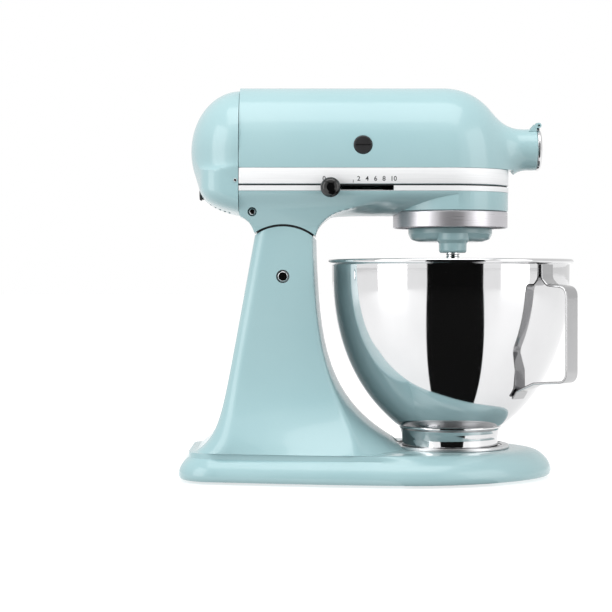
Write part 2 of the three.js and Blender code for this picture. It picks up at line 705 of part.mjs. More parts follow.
/** Internal ring gear fixed under the head; a tooth space faces the beater shaft. */
function ringGear() {
  const shape = new THREE.Shape();
  shape.absarc(0, 0, 48.3, 0, 2 * HALF_TURN, false);
  const teeth = toothOutline(ringTeeth, ringPitchRadius - 1, ringPitchRadius + 1.5, toothShare,
    -QUARTER + HALF_TURN / ringTeeth);
  shape.holes.push(new THREE.Path(teeth.reverse()));
  return plate(shape, 228, 239.7, 20).translate(BOWL_X, 0, 0);
}

/** Straight bevel gear with its cone point at the origin, opening downwards. */
function bevelGear(shift) {
  const gear = spurGear(bevelTeeth, bevelPitchRadius + 0.9, bevelPitchRadius - 1.6, bevelToothShare,
    4.3, 0, 5, shift);
  const position = gear.attributes.position;
  for (let i = 0; i < position.count; i += 1) {
    const radius = Math.hypot(position.getX(i), position.getY(i));
    const rise = position.getZ(i);
    const scale = radius > 6 ? 1 - rise / bevelPitchRadius : 1;
    const drop = radius > 6 ? (bevelPitchRadius - radius) * 0.7 : 0;
    position.setXYZ(i, position.getX(i) * scale, position.getY(i) * scale,
      rise - bevelPitchRadius + drop * scale);
  }
  return gear;
}

/** Planetary carrier: a rounded disc with the boss of the beater shaft. */
function planetaryCarrier() {
  const disc = turned([[0, 212.8], [30, 212.8], [34.5, 214.2], [37.2, 217.4], [38, 221], [38, 225],
    [12, 225.2], [12, 239], [0, 239]], 32, BOWL_X);
  const boss = turned([[0, 202.5], [10.8, 202.5], [12.25, 204], [12.25, 224], [0, 224]],
    28, BOWL_X, -orbit);
  return cut(join(disc, boss), turned(bar(6 + GAP, 190, 260), 20, BOWL_X),
    turned(bar(6 + GAP, 190, 260), 20, BOWL_X, -orbit));
}

/** Plate that carries the upper ends of the drive shafts. */
function transmissionPlate() {
  const shape = new THREE.Shape();
  shape.absarc(BOWL_X, 0, 30, -HALF_TURN * 0.75, HALF_TURN * 0.45, false);
  shape.absarc(wormWheelX, wormWheelY, 14, HALF_TURN * 0.5, HALF_TURN * 1.1, false);
  for (const [x, y, r] of [[BOWL_X, 0, 6.4], [wormWheelX, wormWheelY, 4.4]]) {
    shape.holes.push(new THREE.Path().absarc(x, y, r, 0, 2 * HALF_TURN, true));
  }
  return plate(shape, 268, 271, 10);
}

/** Cooling fan: a hub with flat blades. */
function fan() {
  const blades = [];
  for (let i = 0; i < 8; i += 1) {
    blades.push(block(-109, -102, -0.8, 0.8, 6, 23)
      .rotateX((i * HALF_TURN) / 4).translate(0, 0, armatureZ));
  }
  return cut(join(turnedAlongX(bar(8, -110, -101), 16, armatureZ), ...blades),
    turnedAlongX(bar(4 + GAP, -120, -90), 12, armatureZ));
}

/** Motor shaft with the ridges of its worm. */
function wormShaft() {
  const profile = [[0, -119], [4, -119], [4, 8]];
  const ridges = 4;
  for (let i = 0; i < ridges; i += 1) {
    const x = 8 + i * 6.3;
    profile.push([4.4, x + 0.5], [6, x + 1.8], [6, x + 3.2], [4.4, x + 4.6]);
  }
  profile.push([4, 41], [4, 47], [0, 47]);
  return turnedAlongX(profile, 10, armatureZ);
}

// ---------------------------------------------------------------- power hub and controls

const capHinge = { x: 145.6, z: nose.z + 21.4 };
const attachment = { x: 131, stem: 3 };

/** Hinged cap over the power hub, with its knuckle. */
function hubCap() {
  const disc = turnedAlongX([[0, 144.1], [18.4, 144.1], [19, 144.7], [19, 146.4], [17, 147.9],
    [10, 148.3], [0, 148.4]], 28, nose.z);
  const neck = block(144.6, 146.6, -5.8, 5.8, nose.z + 15, capHinge.z);
  const knuckle = turnedAlongY(bar(2.6, -6.3, 6.3), 14, capHinge.x, capHinge.z);
  return cut(join(disc, neck, knuckle), turnedAlongY(bar(1.3, -12, 12), 10, capHinge.x, capHinge.z));
}

/** Turning socket of the power hub with its square hole. */
function hubShaft() {
  const body = turnedAlongX([[0, 78], [4, 78], [4, 92], [8, 92], [8, 108], [13.6, 110], [13.6, 142],
    [0, 142]], 24, nose.z);
  return cut(body, block(114, 150, -5, 5, nose.z - 5, nose.z + 5));
}

/** Fluted attachment knob. */
function attachmentKnob() {
  const grip = turnedAlongY([[0, 24], [9, 24], [11, 26], [11, 34], [9, 37], [0, 37]], 24, 0, 0);
  const flutes = [];
  for (let i = 0; i < 8; i += 1) {
    const flute = turnedAlongY(bar(2, 20, 40), 8, 12.2, 0);
    flutes.push(flute.rotateY((i * HALF_TURN) / 4));
  }
  return cut(grip, ...flutes).translate(attachment.x, 0, nose.z);
}

/** Beater shaft: bearing part, drive end for the pinion and the slot of its cross pin. */
function beaterShaft() {
  const shaft = turned([[0, 165], [5.4, 165], [6, 166], [6, 226.5], [4, 226.5], [4, 237.5],
    [0, 237.5]], 20, BOWL_X, -orbit);
  return cut(shaft, turnedAlongX(bar(1.9, BOWL_X - 9, BOWL_X + 9), 10, 176, -orbit));
}

// ---------------------------------------------------------------- the assembly

const mixer = new THREE.Group();

/** Adds a named piece to a group. */
function addPiece(group, name, geometry, finish) {
  const material = new THREE.MeshStandardMaterial({ ...finishes[finish], name: finish, flatShading: true });
  const mesh = new THREE.Mesh(closed(geometry), material);
  mesh.name = name;
  group.add(mesh);
  return mesh;
}

/** A group of the mixer that moves or stands as one. */
function addGroup() {
  const group = new THREE.Group();
  mixer.add(group);
  return group;
}

const stand = addGroup();
addPiece(stand, 'base_casting', baseCasting(), 'enamel');
addPiece(stand, 'hinge_pin', hingeRound(hinge.pinRadius, -38.6, 38.6, 20), 'polished');
addPiece(stand, 'bowl_clamp_plate', clampPlate(), 'brushed');
clampScrewPlaces().forEach(([x, y], i) => {
  const piece = addPiece(stand, `clamp_plate_screw_${i + 1}`, screw(4, 1.8, 2, 6), 'steel');
  piece.position.set(x, y, clamp.floorZ + clamp.floor + GAP);
});
footPlaces.forEach(([x, y], i) => {
  addPiece(stand, `foot_${i + 1}`, rubberFoot(), 'rubber').position.set(x, y, 0);
});

const lock = addGroup();
const lockMiddle = (lockBar.x0 + lockBar.x1) / 2;
addPiece(lock, 'lock_bar', block(lockBar.x0, lockBar.x1, -4, 41, lockBar.z0, lockBar.z1), 'steel');
addPiece(lock, 'lock_lever', turnedAlongY([[0, 41.3], [7, 41.3], [8, 42.5], [8, 47], [6.5, 49.5],
  [0, 50]], 20, lockMiddle, 197.5), 'black');

const bowlGroup = addGroup();
addPiece(bowlGroup, 'bowl_shell', bowlShell(), 'polished');
addPiece(bowlGroup, 'bowl_foot_ring', bowlFoot(), 'polished');
addPiece(bowlGroup, 'bowl_handle', bowlHandle(), 'polished');

const headGroup = addGroup();
addPiece(headGroup, 'motor_housing', motorHousing(), 'enamel');
addPiece(headGroup, 'gear_case', gearCase(), 'enamel');
addPiece(headGroup, 'rear_cover', rearCover(), 'enamel');
addPiece(headGroup, 'trim_band', headStrip(0, head.bandThickness, band.low, band.high), 'brushed');
addPiece(headGroup, 'trim_strip', cut(
  headStrip(0, head.bandThickness, head.boatZ + GAP, band.stripTop),
  block(knob.x - 2.6, knob.x + knob.travel + 2.6, -70, -40, knob.z - 2.2, knob.z + 2),
), 'brushed');
addPiece(headGroup, 'band_gasket', headStrip(1.8, 4, head.splitZ - 0.4, head.splitZ + 0.4), 'rubber');
addPiece(headGroup, 'drip_ring', turned([[49, 225], [51.2, 225], [51.8, 225.8], [51.8, 239.7],
  [49, 239.7]], 36, BOWL_X), 'brushed');
addPiece(headGroup, 'ring_gear', ringGear(), 'steel');
addPiece(headGroup, 'centre_bearing', turned(bar(12, 240, 249, 6 + GAP), 20, BOWL_X), 'steel');
addPiece(headGroup, 'transmission_plate', transmissionPlate(), 'steel');
addPiece(headGroup, 'motor_stator', turnedAlongX(bar(31, -72, -26, 20.5), 24, armatureZ), 'steel');
addPiece(headGroup, 'rear_bearing', turnedAlongX(bar(9, -118, -113, 4.3), 16, armatureZ), 'steel');
addPiece(headGroup, 'front_bearing', turnedAlongX(bar(9, -3, 3, 4.3), 16, armatureZ), 'steel');
addPiece(headGroup, 'hub_bushing', turnedAlongX(bar(11.5, 97, 107, 8.3), 16, nose.z), 'nylon');
addPiece(headGroup, 'control_board', block(-147, -145, -28, 28, 268, 316), 'board');
addPiece(headGroup, 'cord_gland', turnedAlongX([[3.4, -165], [5, -167], [7, -165], [7, -162],
  [5, -162], [5, -156], [3.4, -156]], 16, gland.z), 'rubber');
for (const [side, sign] of [['left', 1], ['right', -1]]) {
  const holder = turnedAlongY(bar(6, 11.6, 45.5), 14, brushX, armatureZ);
  const cap = turnedAlongY([[0, 46], [8, 46], [8, 52.4], [7.2, 53.1], [0, 53.1]], 24, brushX, armatureZ);
  const cross = turnedAlongY([[0, 36.4], [3.4, 36.4], [3.4, 38.6], [2.2, 39.6], [0, 39.6]],
    12, neckScrew.x, neckScrew.z);
  for (const [name, shape, finish] of [['brush_holder', holder, 'copper'], ['brush_cap', cap, 'black'],
    ['neck_screw', cross, 'steel']]) {
    addPiece(headGroup, `${name}_${side}`, shape.scale(1, sign, 1), finish);
  }
}
addPiece(headGroup, 'cap_pin', turnedAlongY(bar(0.9, -11, 11), 10, capHinge.x, capHinge.z), 'polished');

const planetary = addGroup();
addPiece(planetary, 'planetary_carrier', planetaryCarrier(), 'enamel');
addPiece(planetary, 'centre_shaft', turned(bar(6, 213.5, 274), 20, BOWL_X), 'steel');
const meshAngle = Math.atan2(-wormWheelY, BOWL_X - wormWheelX);
addPiece(planetary, 'centre_gear', spurGear(centreTeeth, 34.3, 30.8, toothShare, 6 + GAP, 257.5,
  265.5, meshAngle + HALF_TURN + HALF_TURN / centreTeeth).translate(BOWL_X, 0, 0), 'steel');
addPiece(planetary, 'centre_bevel_gear', bevelGear(0)
  .translate(BOWL_X, 0, nose.z - bevelSetback), 'steel');

const beater = addGroup();
addPiece(beater, 'beater_shaft', beaterShaft(), 'polished');
addPiece(beater, 'planet_pinion', spurGear(planetTeeth, planetPitchRadius + 1,
  planetPitchRadius - 1.5, toothShare, 4 + GAP, 228.5, 237.5, -QUARTER)
  .translate(BOWL_X, -orbit, 0), 'steel');
addPiece(beater, 'beater_cross_pin', turnedAlongX(bar(1.6, BOWL_X - 9.5, BOWL_X + 9.5), 10, 176,
  -orbit), 'steel');

const wormWheelGroup = addGroup();
wormWheelGroup.position.set(wormWheelX, wormWheelY, 0);
addPiece(wormWheelGroup, 'worm_wheel', spurGear(20, 19.6, 17.6, toothShare, 4 + GAP, 293, 301), 'nylon');
addPiece(wormWheelGroup, 'worm_wheel_shaft', turned(bar(4, 250, 306), 14), 'steel');
addPiece(wormWheelGroup, 'drive_pinion', spurGear(drivePinionTeeth, 17.8, 14.3, toothShare, 4 + GAP,
  257.5, 265.5, meshAngle), 'steel');

const armature = addGroup();
addPiece(armature, 'armature_core', turnedAlongX(bar(19.5, -70, -28, 4 + GAP), 20, armatureZ), 'steel');
addPiece(armature, 'commutator', turnedAlongX(bar(11, -21, -8, 4 + GAP), 20, armatureZ), 'copper');
addPiece(armature, 'worm_shaft', wormShaft(), 'steel');
addPiece(armature, 'cooling_fan', fan(), 'nylon');

const hub = addGroup();
addPiece(hub, 'hub_socket', hubShaft(), 'steel');
addPiece(hub, 'hub_bevel_gear', bevelGear(HALF_TURN / bevelTeeth).rotateY(-QUARTER)
  .translate(BOWL_X + bevelSetback, 0, nose.z), 'steel');

addPiece(addGroup(), 'hub_cap', hubCap(), 'polished');

const attachmentGroup = addGroup();
addPiece(attachmentGroup, 'attachment_knob', attachmentKnob(), 'black');
addPiece(attachmentGroup, 'attachment_stem',
  turnedAlongY(bar(attachment.stem, 14.8, 23.7), 12, attachment.x, nose.z), 'steel');

const speed = addGroup();
addPiece(speed, 'speed_knob', turnedAlongY([[0, -54.5], [4, -54.5], [knob.radius, -57], [knob.radius, -64],
  [knob.radius - 2, -66.5], [0, -67.4]], 28, knob.x, knob.z), 'black');
addPiece(speed, 'speed_link', join(
  turnedAlongY(bar(1.7, -54.2, -44), 12, knob.x, knob.z),
  block(knob.x - 42, knob.x + 3, -46, -44, knob.z - 2, knob.z + 6),
), 'steel');

export default mixer;
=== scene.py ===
"""Looks of the tilt-head stand mixer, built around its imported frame."""
import json
import logging
import math
from dataclasses import dataclass, field
from enum import Enum
from typing import Any, Callable, Sequence

import bmesh
import bpy
import numpy as np
from mathutils import Matrix, Vector


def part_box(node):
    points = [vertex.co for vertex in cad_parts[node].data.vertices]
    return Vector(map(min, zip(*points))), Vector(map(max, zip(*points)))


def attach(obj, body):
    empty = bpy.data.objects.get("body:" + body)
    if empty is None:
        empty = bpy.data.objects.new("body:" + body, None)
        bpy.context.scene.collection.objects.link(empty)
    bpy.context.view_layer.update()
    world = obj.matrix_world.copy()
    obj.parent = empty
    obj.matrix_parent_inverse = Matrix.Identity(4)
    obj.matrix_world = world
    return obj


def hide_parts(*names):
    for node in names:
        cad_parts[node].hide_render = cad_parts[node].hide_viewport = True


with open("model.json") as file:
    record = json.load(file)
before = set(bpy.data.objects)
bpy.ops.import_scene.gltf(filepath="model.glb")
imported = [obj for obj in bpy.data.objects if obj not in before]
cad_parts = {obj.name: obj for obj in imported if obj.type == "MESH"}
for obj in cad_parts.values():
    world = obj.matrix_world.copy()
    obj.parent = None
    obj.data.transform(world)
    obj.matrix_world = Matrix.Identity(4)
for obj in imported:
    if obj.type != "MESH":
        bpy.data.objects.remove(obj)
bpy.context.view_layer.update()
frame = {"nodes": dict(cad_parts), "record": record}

log = logging.getLogger("stand_mixer")

Points = np.ndarray
Profile = list[tuple[float, float]]
Place = tuple[float, float, float]

MM = 0.001
WHITE = (1.0, 1.0, 1.0, 1.0)

# Axes that several pieces share, in millimetres.
BOWL_X = 66.5
HUB_Z = 296.2
BOWL_AXIS: Place = (BOWL_X, 0, 0)
SHAFT_AXIS: Place = (BOWL_X, -28.0, 0)
HUB_AXIS: Place = (0, 0, HUB_Z)
HINGE: Place = (-85.0, 0, 181.5)
CAP_HINGE: Place = (145.6, 0, 317.6)
NECK_SCREW: Place = (-112, 0, 238.6)
ATTACHMENT_SCREW: Place = (131, 0, HUB_Z)
CORD_GLAND: Place = (0, 0, 256)


class Body(Enum):
    """The moving bodies of the frame that pieces ride on."""

    BASE = "base"
    HEAD = "head"
    LOCK = "lock"
    BOWL = "bowl"
    PLANETARY = "planetary"
    BEATER = "beater_drive"
    HUB_CAP = "hub_cap"
    KNOB = "attachment_screw"
    SPEED = "speed_control"


class Axis(Enum):
    """Which way a turned piece's axis lies."""

    X = "x"
    Y = "y"
    Z = "z"


# ---------------------------------------------------------------- nodes and shader maths


def feed(tree: Any, socket: Any, value: Any) -> None:
    """Links or sets an input socket.

    Args:
        tree: The node tree.
        socket: The input.
        value: A Value or an output socket to link, or a plain value to set.
    """
    source = value.socket if isinstance(value, Value) else value
    if isinstance(source, bpy.types.NodeSocket):
        tree.links.new(source, socket)
    else:
        socket.default_value = source


def add_node(tree: Any, kind: str, settings: dict[str, Any] | None = None,
             inputs: dict[Any, Any] | None = None) -> Any:
    """Adds a node to a tree.

    Args:
        tree: The node tree.
        kind: The node's type.
        settings: Attributes, set first.
        inputs: Values or links by socket name or number.

    Returns:
        The node.
    """
    made = tree.nodes.new(kind)
    for key, value in (settings or {}).items():
        setattr(made, key, value)
    for key, value in (inputs or {}).items():
        feed(tree, made.inputs[key], value)
    return made


class Value:
    """A shader socket that takes part in Python arithmetic."""

    def __init__(self, shader: "Shader", socket: Any) -> None:
        """Wraps an output socket of a shader."""
        self.shader = shader
        self.socket = socket

    def _math(self, operation: str, first: Any, second: Any) -> "Value":
        """The result of a Math node."""
        return self.shader.node("ShaderNodeMath", {"operation": operation}, {0: first, 1: second})

    def __add__(self, other: Any) -> "Value":
        """Sum."""
        return self._math("ADD", self, other)

    __radd__ = __add__


class Shader:
    """A material's node tree with one principled surface."""

    def __init__(self, name: str) -> None:
        """Starts an empty tree.

        Args:
            name: The material's name.
        """
        self.material = bpy.data.materials.new(name)
        self.material.use_nodes = True
        self.tree = self.material.node_tree
        self.surface = next(n for n in self.tree.nodes if n.type == "BSDF_PRINCIPLED")
        self.place = self.node("ShaderNodeTexCoord", {}, {}, "Object")

    def node(self, kind: str, settings: dict[str, Any], inputs: dict[Any, Any],
             output: int | str = 0) -> Value:
        """Adds a node.

        Args:
            kind: The node's type.
            settings: Attributes, set first.
            inputs: Values or links by socket name or number.
            output: Which output to return.

        Returns:
            The chosen output.
        """
        made = add_node(self.tree, kind, settings, inputs)
        return Value(self, made.outputs[output])

    def stretched(self, x: float, y: float, z: float) -> Value:
        """Object coordinates scaled along each axis."""
        return self.node("ShaderNodeVectorMath", {"operation": "MULTIPLY"},
                         {0: self.place, 1: (x, y, z)})

    def noise(self, scale: float, detail: float = 2.0, where: Value | None = None) -> Value:
        """Fractal noise, 0 to 1.

        Args:
            scale: Features per metre.
            detail: Octaves.
            where: Coordinates in place of the object's.

        Returns:
            The noise.
        """
        return self.node("ShaderNodeTexNoise", {},
                         {"Vector": where or self.place, "Scale": scale, "Detail": detail}, 0)

    def ranged(self, value: Value, low: float, high: float) -> Value:
        """Noise spread over a range, from its usual middle part.

        Args:
            value: A noise value.
            low: Result at the low end.
            high: Result at the high end.

        Returns:
            The ranged value.
        """
        return self.node("ShaderNodeMapRange", {},
                         {"Value": value, "From Min": 0.3, "From Max": 0.7, "To Min": low,
                          "To Max": high})

    def blend(self, factor: Any, first: Any, second: Any) -> Value:
        """Mixes two colours."""
        return self.node("ShaderNodeMix", {"data_type": "RGBA"}, {0: factor, 6: first, 7: second}, 2)

    def cloud(self, noise: Value, first: Sequence[int], second: Sequence[int]) -> Value:
        """Two display colours mixed by noise."""
        return self.blend(self.ranged(noise, 0.0, 1.0), linear(*first), linear(*second))

    def bump(self, height: Value, distance: float, strength: float) -> Value:
        """A bump from a height."""
        return self.node("ShaderNodeBump", {},
                         {"Height": height, "Distance": distance, "Strength": strength})

    def set(self, **values: Any) -> None:
        """Sets the surface's sockets; underscores stand for spaces."""
        for key, value in values.items():
            feed(self.tree, self.surface.inputs[key.replace("_", " ")], value)


def linear(red: int, green: int, blue: int) -> tuple[float, float, float, float]:
    """A linear colour from display values.

    Args:
        red: Red, 0 to 255.
        green: Green, 0 to 255.
        blue: Blue, 0 to 255.

    Returns:
        The colour with full alpha.
    """
    def one(value: int) -> float:
        """One channel."""
        share = value / 255
        return share / 12.92 if share <= 0.04045 else ((share + 0.055) / 1.055) ** 2.4

    return (one(red), one(green), one(blue), 1.0)


# ---------------------------------------------------------------- finishes


@dataclass(frozen=True)
class Enamel:
    """Baked gloss enamel over cast metal, with faint orange peel."""

    name: str = "aqua_enamel"
    light: tuple[int, int, int] = (169, 202, 206)
    deep: tuple[int, int, int] = (162, 197, 202)

    def material(self) -> Any:
        """Builds the material.

        Returns:
            The material.
        """
        shader = Shader(self.name)
        patches = shader.noise(9.0, 3.0)
        speck = shader.noise(2600.0, 1.0)
        tint = shader.cloud(patches, self.deep, self.light)
        shader.set(Base_Color=tint, Roughness=shader.ranged(speck, 0.2, 0.28),
                   Normal=shader.bump(shader.noise(420.0, 2.0), 0.00006, 0.55))
        shader.set(Coat_Weight=0.5, Coat_Roughness=0.07, Coat_IOR=1.45, IOR=1.4)
        return shader.material


@dataclass(frozen=True)
class MirrorSteel:
    """Polished stainless steel with faint polishing haze."""

    name: str = "mirror_steel"
    tone: tuple[int, int, int] = (220, 220, 221)
    rough: float = 0.035

    def material(self) -> Any:
        """Builds the material.

        Returns:
            The material.
        """
        shader = Shader(self.name)
        haze = shader.noise(14.0, 4.0)
        fine = shader.noise(60.0, 2.0, shader.stretched(1.0, 1.0, 22.0))
        deep = tuple(c - 8 for c in self.tone)
        tone = shader.cloud(haze, self.tone, deep)
        shader.set(Base_Color=tone, Roughness=shader.ranged(haze, self.rough, self.rough + 0.04),
                   Normal=shader.bump(fine, 0.00001, 0.4))
        shader.set(Metallic=1.0)
        return shader.material


@dataclass(frozen=True)
class SatinSteel:
    """Brushed metal whose lines run level around the piece."""

    name: str = "satin_steel"
    tone: tuple[int, int, int] = (218, 219, 220)
    rough: float = 0.3
    lines: float = 26.0
    metal: float = 1.0

    def material(self) -> Any:
        """Builds the material.

        Returns:
            The material.
        """
        shader = Shader(self.name)
        lines = shader.noise(60.0, 3.0, shader.stretched(0.35, 0.35, self.lines))
        long = shader.noise(12.0, 2.0)
        deep = tuple(int(c * 0.965) for c in self.tone)
        tone = shader.cloud(lines, self.tone, deep)
        shader.set(Base_Color=tone,
                   Roughness=shader.ranged(lines, self.rough - 0.04, self.rough + 0.05)
                   + shader.ranged(long, -0.02, 0.02),
                   Normal=shader.bump(lines, 0.000008, 0.25))
        shader.set(Metallic=self.metal)
        return shader.material


@dataclass(frozen=True)
class PlainMetal:
    """Machined inner metal with an oily sheen."""

    name: str = "machined_steel"
    tone: tuple[int, int, int] = (150, 153, 156)
    dark: tuple[int, int, int] = (112, 114, 118)
    rough: float = 0.38

    def material(self) -> Any:
        """Builds the material.

        Returns:
            The material.
        """
        shader = Shader(self.name)
        cloud = shader.noise(70.0, 4.0)
        shader.set(Base_Color=shader.cloud(cloud, self.dark, self.tone),
                   Roughness=shader.ranged(cloud, self.rough - 0.08, self.rough + 0.1),
                   Normal=shader.bump(shader.noise(900.0, 2.0), 0.00004, 0.4))
        shader.set(Metallic=1.0)
        return shader.material


@dataclass(frozen=True)
class Moulded:
    """Moulded plastic or rubber with a fine grain."""

    name: str
    tone: tuple[int, int, int]
    worn: tuple[int, int, int]
    rough: float
    grain: float
    coat: float = 0.0

    def material(self) -> Any:
        """Builds the material.

        Returns:
            The material.
        """
        shader = Shader(self.name)
        cloud = shader.noise(55.0, 4.0)
        shader.set(Base_Color=shader.cloud(cloud, self.tone, self.worn),
                   Roughness=shader.ranged(cloud, self.rough * 0.85, self.rough * 1.15),
                   Normal=shader.bump(shader.noise(1500.0, 2.0), self.grain, 0.5))
        shader.set(Coat_Weight=self.coat, Coat_Roughness=0.08)
        return shader.material


class Finishes:
    """All finishes of the mixer, each built once."""

    def __init__(self) -> None:
        """Builds the materials."""
        self.enamel = Enamel().material()
        self.polished = MirrorSteel().material()
        # Darker, rougher copy of the mirror steel for the handle strap: painted shade, so the strap
        # reads grey against the bowl.
        self.strap = MirrorSteel("strap_steel_painted_shade", (186, 186, 187), 0.1).material()
        self.brushed = SatinSteel().material()
        self.band = SatinSteel("band_satin", (247, 248, 249), 0.5, 16.0, 0.2).material()
        self.satin = SatinSteel("drip_ring_steel", (206, 204, 208), 0.3, 30.0, 0.7).material()
        self.steel = PlainMetal().material()
        self.copper = PlainMetal("copper", (198, 122, 82), (150, 84, 52), 0.35).material()
        self.black = Moulded("gloss_black", (9, 9, 10), (14, 14, 15), 0.14, 0.000004, 0.3).material()
        self.satin_black = Moulded("satin_black", (40, 40, 41), (46, 46, 48), 0.42, 0.00002,
                                   0.1).material()
        self.rubber = Moulded("grey_rubber", (34, 34, 35), (44, 44, 46), 0.75, 0.00006).material()
        self.nylon = Moulded("nylon", (216, 212, 198), (202, 198, 182), 0.5, 0.00003).material()
        self.board = Moulded("board_green", (46, 92, 60), (36, 76, 50), 0.45, 0.00003, 0.3).material()
        self.ink = Moulded("label_ink", (38, 40, 44), (48, 50, 54), 0.5, 0.00001).material()

    def by_slot(self, slot: str) -> Any:
        """The finish of a material slot of the record."""
        return getattr(self, slot)


# ---------------------------------------------------------------- mesh work


def piece_of(name: str, points: Sequence, faces: Sequence, smooth: float = 32.0) -> Any:
    """Makes an object of points in millimetres.

    Args:
        name: The piece's name.
        points: Corners in millimetres.
        faces: Corner numbers of each face.
        smooth: Edges above this angle in degrees stay sharp.

    Returns:
        The object, closed, with its faces outwards.
    """
    mesh = bpy.data.meshes.new(name)
    mesh.from_pydata([tuple(float(c) * MM for c in p) for p in points], [], faces)
    obj = bpy.data.objects.new(name, mesh)
    bpy.context.scene.collection.objects.link(obj)
    tidy(obj, smooth)
    return obj


def tidy(obj: Any, smooth: float = 32.0) -> None:
    """Merges doubles, turns faces outwards and sets smooth shading.

    Args:
        obj: The object.
        smooth: Edges above this angle in degrees stay sharp.
    """
    shape = bmesh.new()
    shape.from_mesh(obj.data)
    bmesh.ops.remove_doubles(shape, verts=shape.verts, dist=1e-7)
    bmesh.ops.dissolve_degenerate(shape, edges=shape.edges, dist=1e-8)
    bmesh.ops.recalc_face_normals(shape, faces=shape.faces)
    shape.to_mesh(obj.data)
    shape.free()
    for polygon in obj.data.polygons:
        polygon.use_smooth = True
    obj.data.set_sharp_from_angle(angle=math.radians(smooth))


def rings_piece(name: str, rings: Points, smooth: float = 32.0) -> Any:
    """Makes a closed piece of rings of points, with both ends filled.

    Args:
        name: The piece's name.
        rings: Array of rings by points by three.
        smooth: Sharp angle in degrees.

    Returns:
        The object.
    """
    count, around = rings.shape[0], rings.shape[1]
    points = list(rings.reshape(-1, 3)) + [rings[0].mean(axis=0), rings[-1].mean(axis=0)]
    faces = []
    for i in range(count - 1):
        for j in range(around):
            k = (j + 1) % around
            faces.append((i * around + j, i * around + k, (i + 1) * around + k, (i + 1) * around + j))
    last = (count - 1) * around
    for j in range(around):
        k = (j + 1) % around
        faces.append((k, j, count * around))
        faces.append((last + j, last + k, count * around + 1))
    return piece_of(name, points, faces, smooth)


def rounded(corners: Sequence[tuple], steps: int = 5) -> Profile:
    """A closed outline with arcs at its corners.

    Args:
        corners: Points as (a, b) or (a, b, radius).
        steps: Pieces of each arc.

    Returns:
        The outline's points.
    """
    result: Profile = []
    count = len(corners)
    for i, corner in enumerate(corners):
        radius = corner[2] if len(corner) > 2 else 0.0
        here = Vector(corner[:2])
        if radius <= 0:
            result.append((here.x, here.y))
            continue
        back = Vector(corners[i - 1][:2]) - here
        ahead = Vector(corners[(i + 1) % count][:2]) - here
        angle = back.angle(ahead)
        length = min(radius / math.tan(angle / 2), back.length * 0.49, ahead.length * 0.49)
        first = here + back.normalized() * length
        last = here + ahead.normalized() * length
        for k in range(steps + 1):
            t = k / steps
            spot = first * (1 - t) ** 2 + here * (2 * t * (1 - t)) + last * t ** 2
            result.append((spot.x, spot.y))
    return result


def turned(name: str, corners: Sequence[tuple], axis: Axis = Axis.Z, at: Place = (0, 0, 0),
           segments: int = 96, smooth: float = 32.0) -> Any:
    """A piece turned about an axis.

    Args:
        name: The piece's name.
        corners: Closed outline as (radius, place along the axis, optional corner radius).
        axis: Direction of the axis.
        at: A point of the axis, in millimetres.
        segments: Steps around.
        smooth: Sharp angle in degrees.

    Returns:
        The object.
    """
    outline = np.array(rounded(corners))
    turn = np.arange(segments) * 2 * math.pi / segments
    across = outline[:, 0][None, :]
    along = np.repeat(outline[:, 1][None, :], segments, axis=0)
    first = np.cos(turn)[:, None] * across
    second = np.sin(turn)[:, None] * across
    parts = {Axis.Z: (first, second, along), Axis.X: (along, first, second),
             Axis.Y: (second, along, first)}[axis]
    grid = np.stack(parts, axis=-1) + np.array(at)
    count = outline.shape[0]
    faces = []
    for i in range(segments):
        for j in range(count):
            if max(outline[j, 0], outline[(j + 1) % count, 0]) < 1e-6:
                continue
            a, b = i * count + j, i * count + (j + 1) % count
            c, d = ((i + 1) % segments) * count + (j + 1) % count, ((i + 1) % segments) * count + j
            faces.append((a, b, c, d))
    return piece_of(name, grid.reshape(-1, 3), faces, smooth)


def rod(name: str, radius: float, low: float, high: float, axis: Axis, at: Place,
        segments: int) -> Any:
    """A plain cylinder between two places on its axis."""
    corners = [(0, low), (radius, low), (radius, high), (0, high)]
    return turned(name, corners, axis, at, segments)


def slab(name: str, outline: Sequence[tuple[float, float]], low: float, high: float) -> Any:
    """A flat outline given thickness.

    Args:
        name: The piece's name.
        outline: Points in X and Y.
        low: Underside.
        high: Top.

    Returns:
        The object.
    """
    count = len(outline)
    points = [(x, y, low) for x, y in outline] + [(x, y, high) for x, y in outline]
    faces: list[tuple] = [tuple(range(count)), tuple(range(count, 2 * count))]
    faces += [(i, (i + 1) % count, count + (i + 1) % count, count + i) for i in range(count)]
    return piece_of(name, points, faces)


def block(name: str, low: Place, high: Place) -> Any:
    """A block between two corners."""
    corners = [(low[0], low[1]), (high[0], low[1]), (high[0], high[1]), (low[0], high[1])]
    return slab(name, corners, low[2], high[2])


def side_slab(name: str, outline: Sequence[tuple[float, float]], y0: float, y1: float) -> Any:
    """An upright outline given thickness along Y.

    Args:
        name: The piece's name.
        outline: Points in X and Z.
        y0: One side.
        y1: The other side.

    Returns:
        The object.
    """
    made = slab(name, outline, y0, y1)
    for vertex in made.data.vertices:
        x, z, y = vertex.co
        vertex.co = (x, y, z)
    tidy(made)
    return made


def combine(target: Any, others: Sequence[Any], operation: str = "DIFFERENCE",
            smooth: float = 32.0) -> Any:
    """Cuts or joins pieces and drops the tools.

    Args:
        target: The piece that stays.
        others: The tools.
        operation: DIFFERENCE, UNION or INTERSECT.
        smooth: Sharp angle in degrees.

    Returns:
        The target.
    """
    for other in others:
        modifier = target.modifiers.new("tool", "BOOLEAN")
        modifier.operation = operation
        modifier.solver = "MANIFOLD"
        modifier.object = other
    settle(target, smooth)
    for other in others:
        bpy.data.objects.remove(other)
    return target


def settle(obj: Any, smooth: float = 32.0) -> None:
    """Puts an object's modifiers into its mesh.

    Args:
        obj: The object.
        smooth: Sharp angle in degrees.
    """
    graph = bpy.context.evaluated_depsgraph_get()
    graph.update()
    mesh = bpy.data.meshes.new_from_object(obj.evaluated_get(graph))
    obj.modifiers.clear()
    obj.data = mesh
    tidy(obj, smooth)


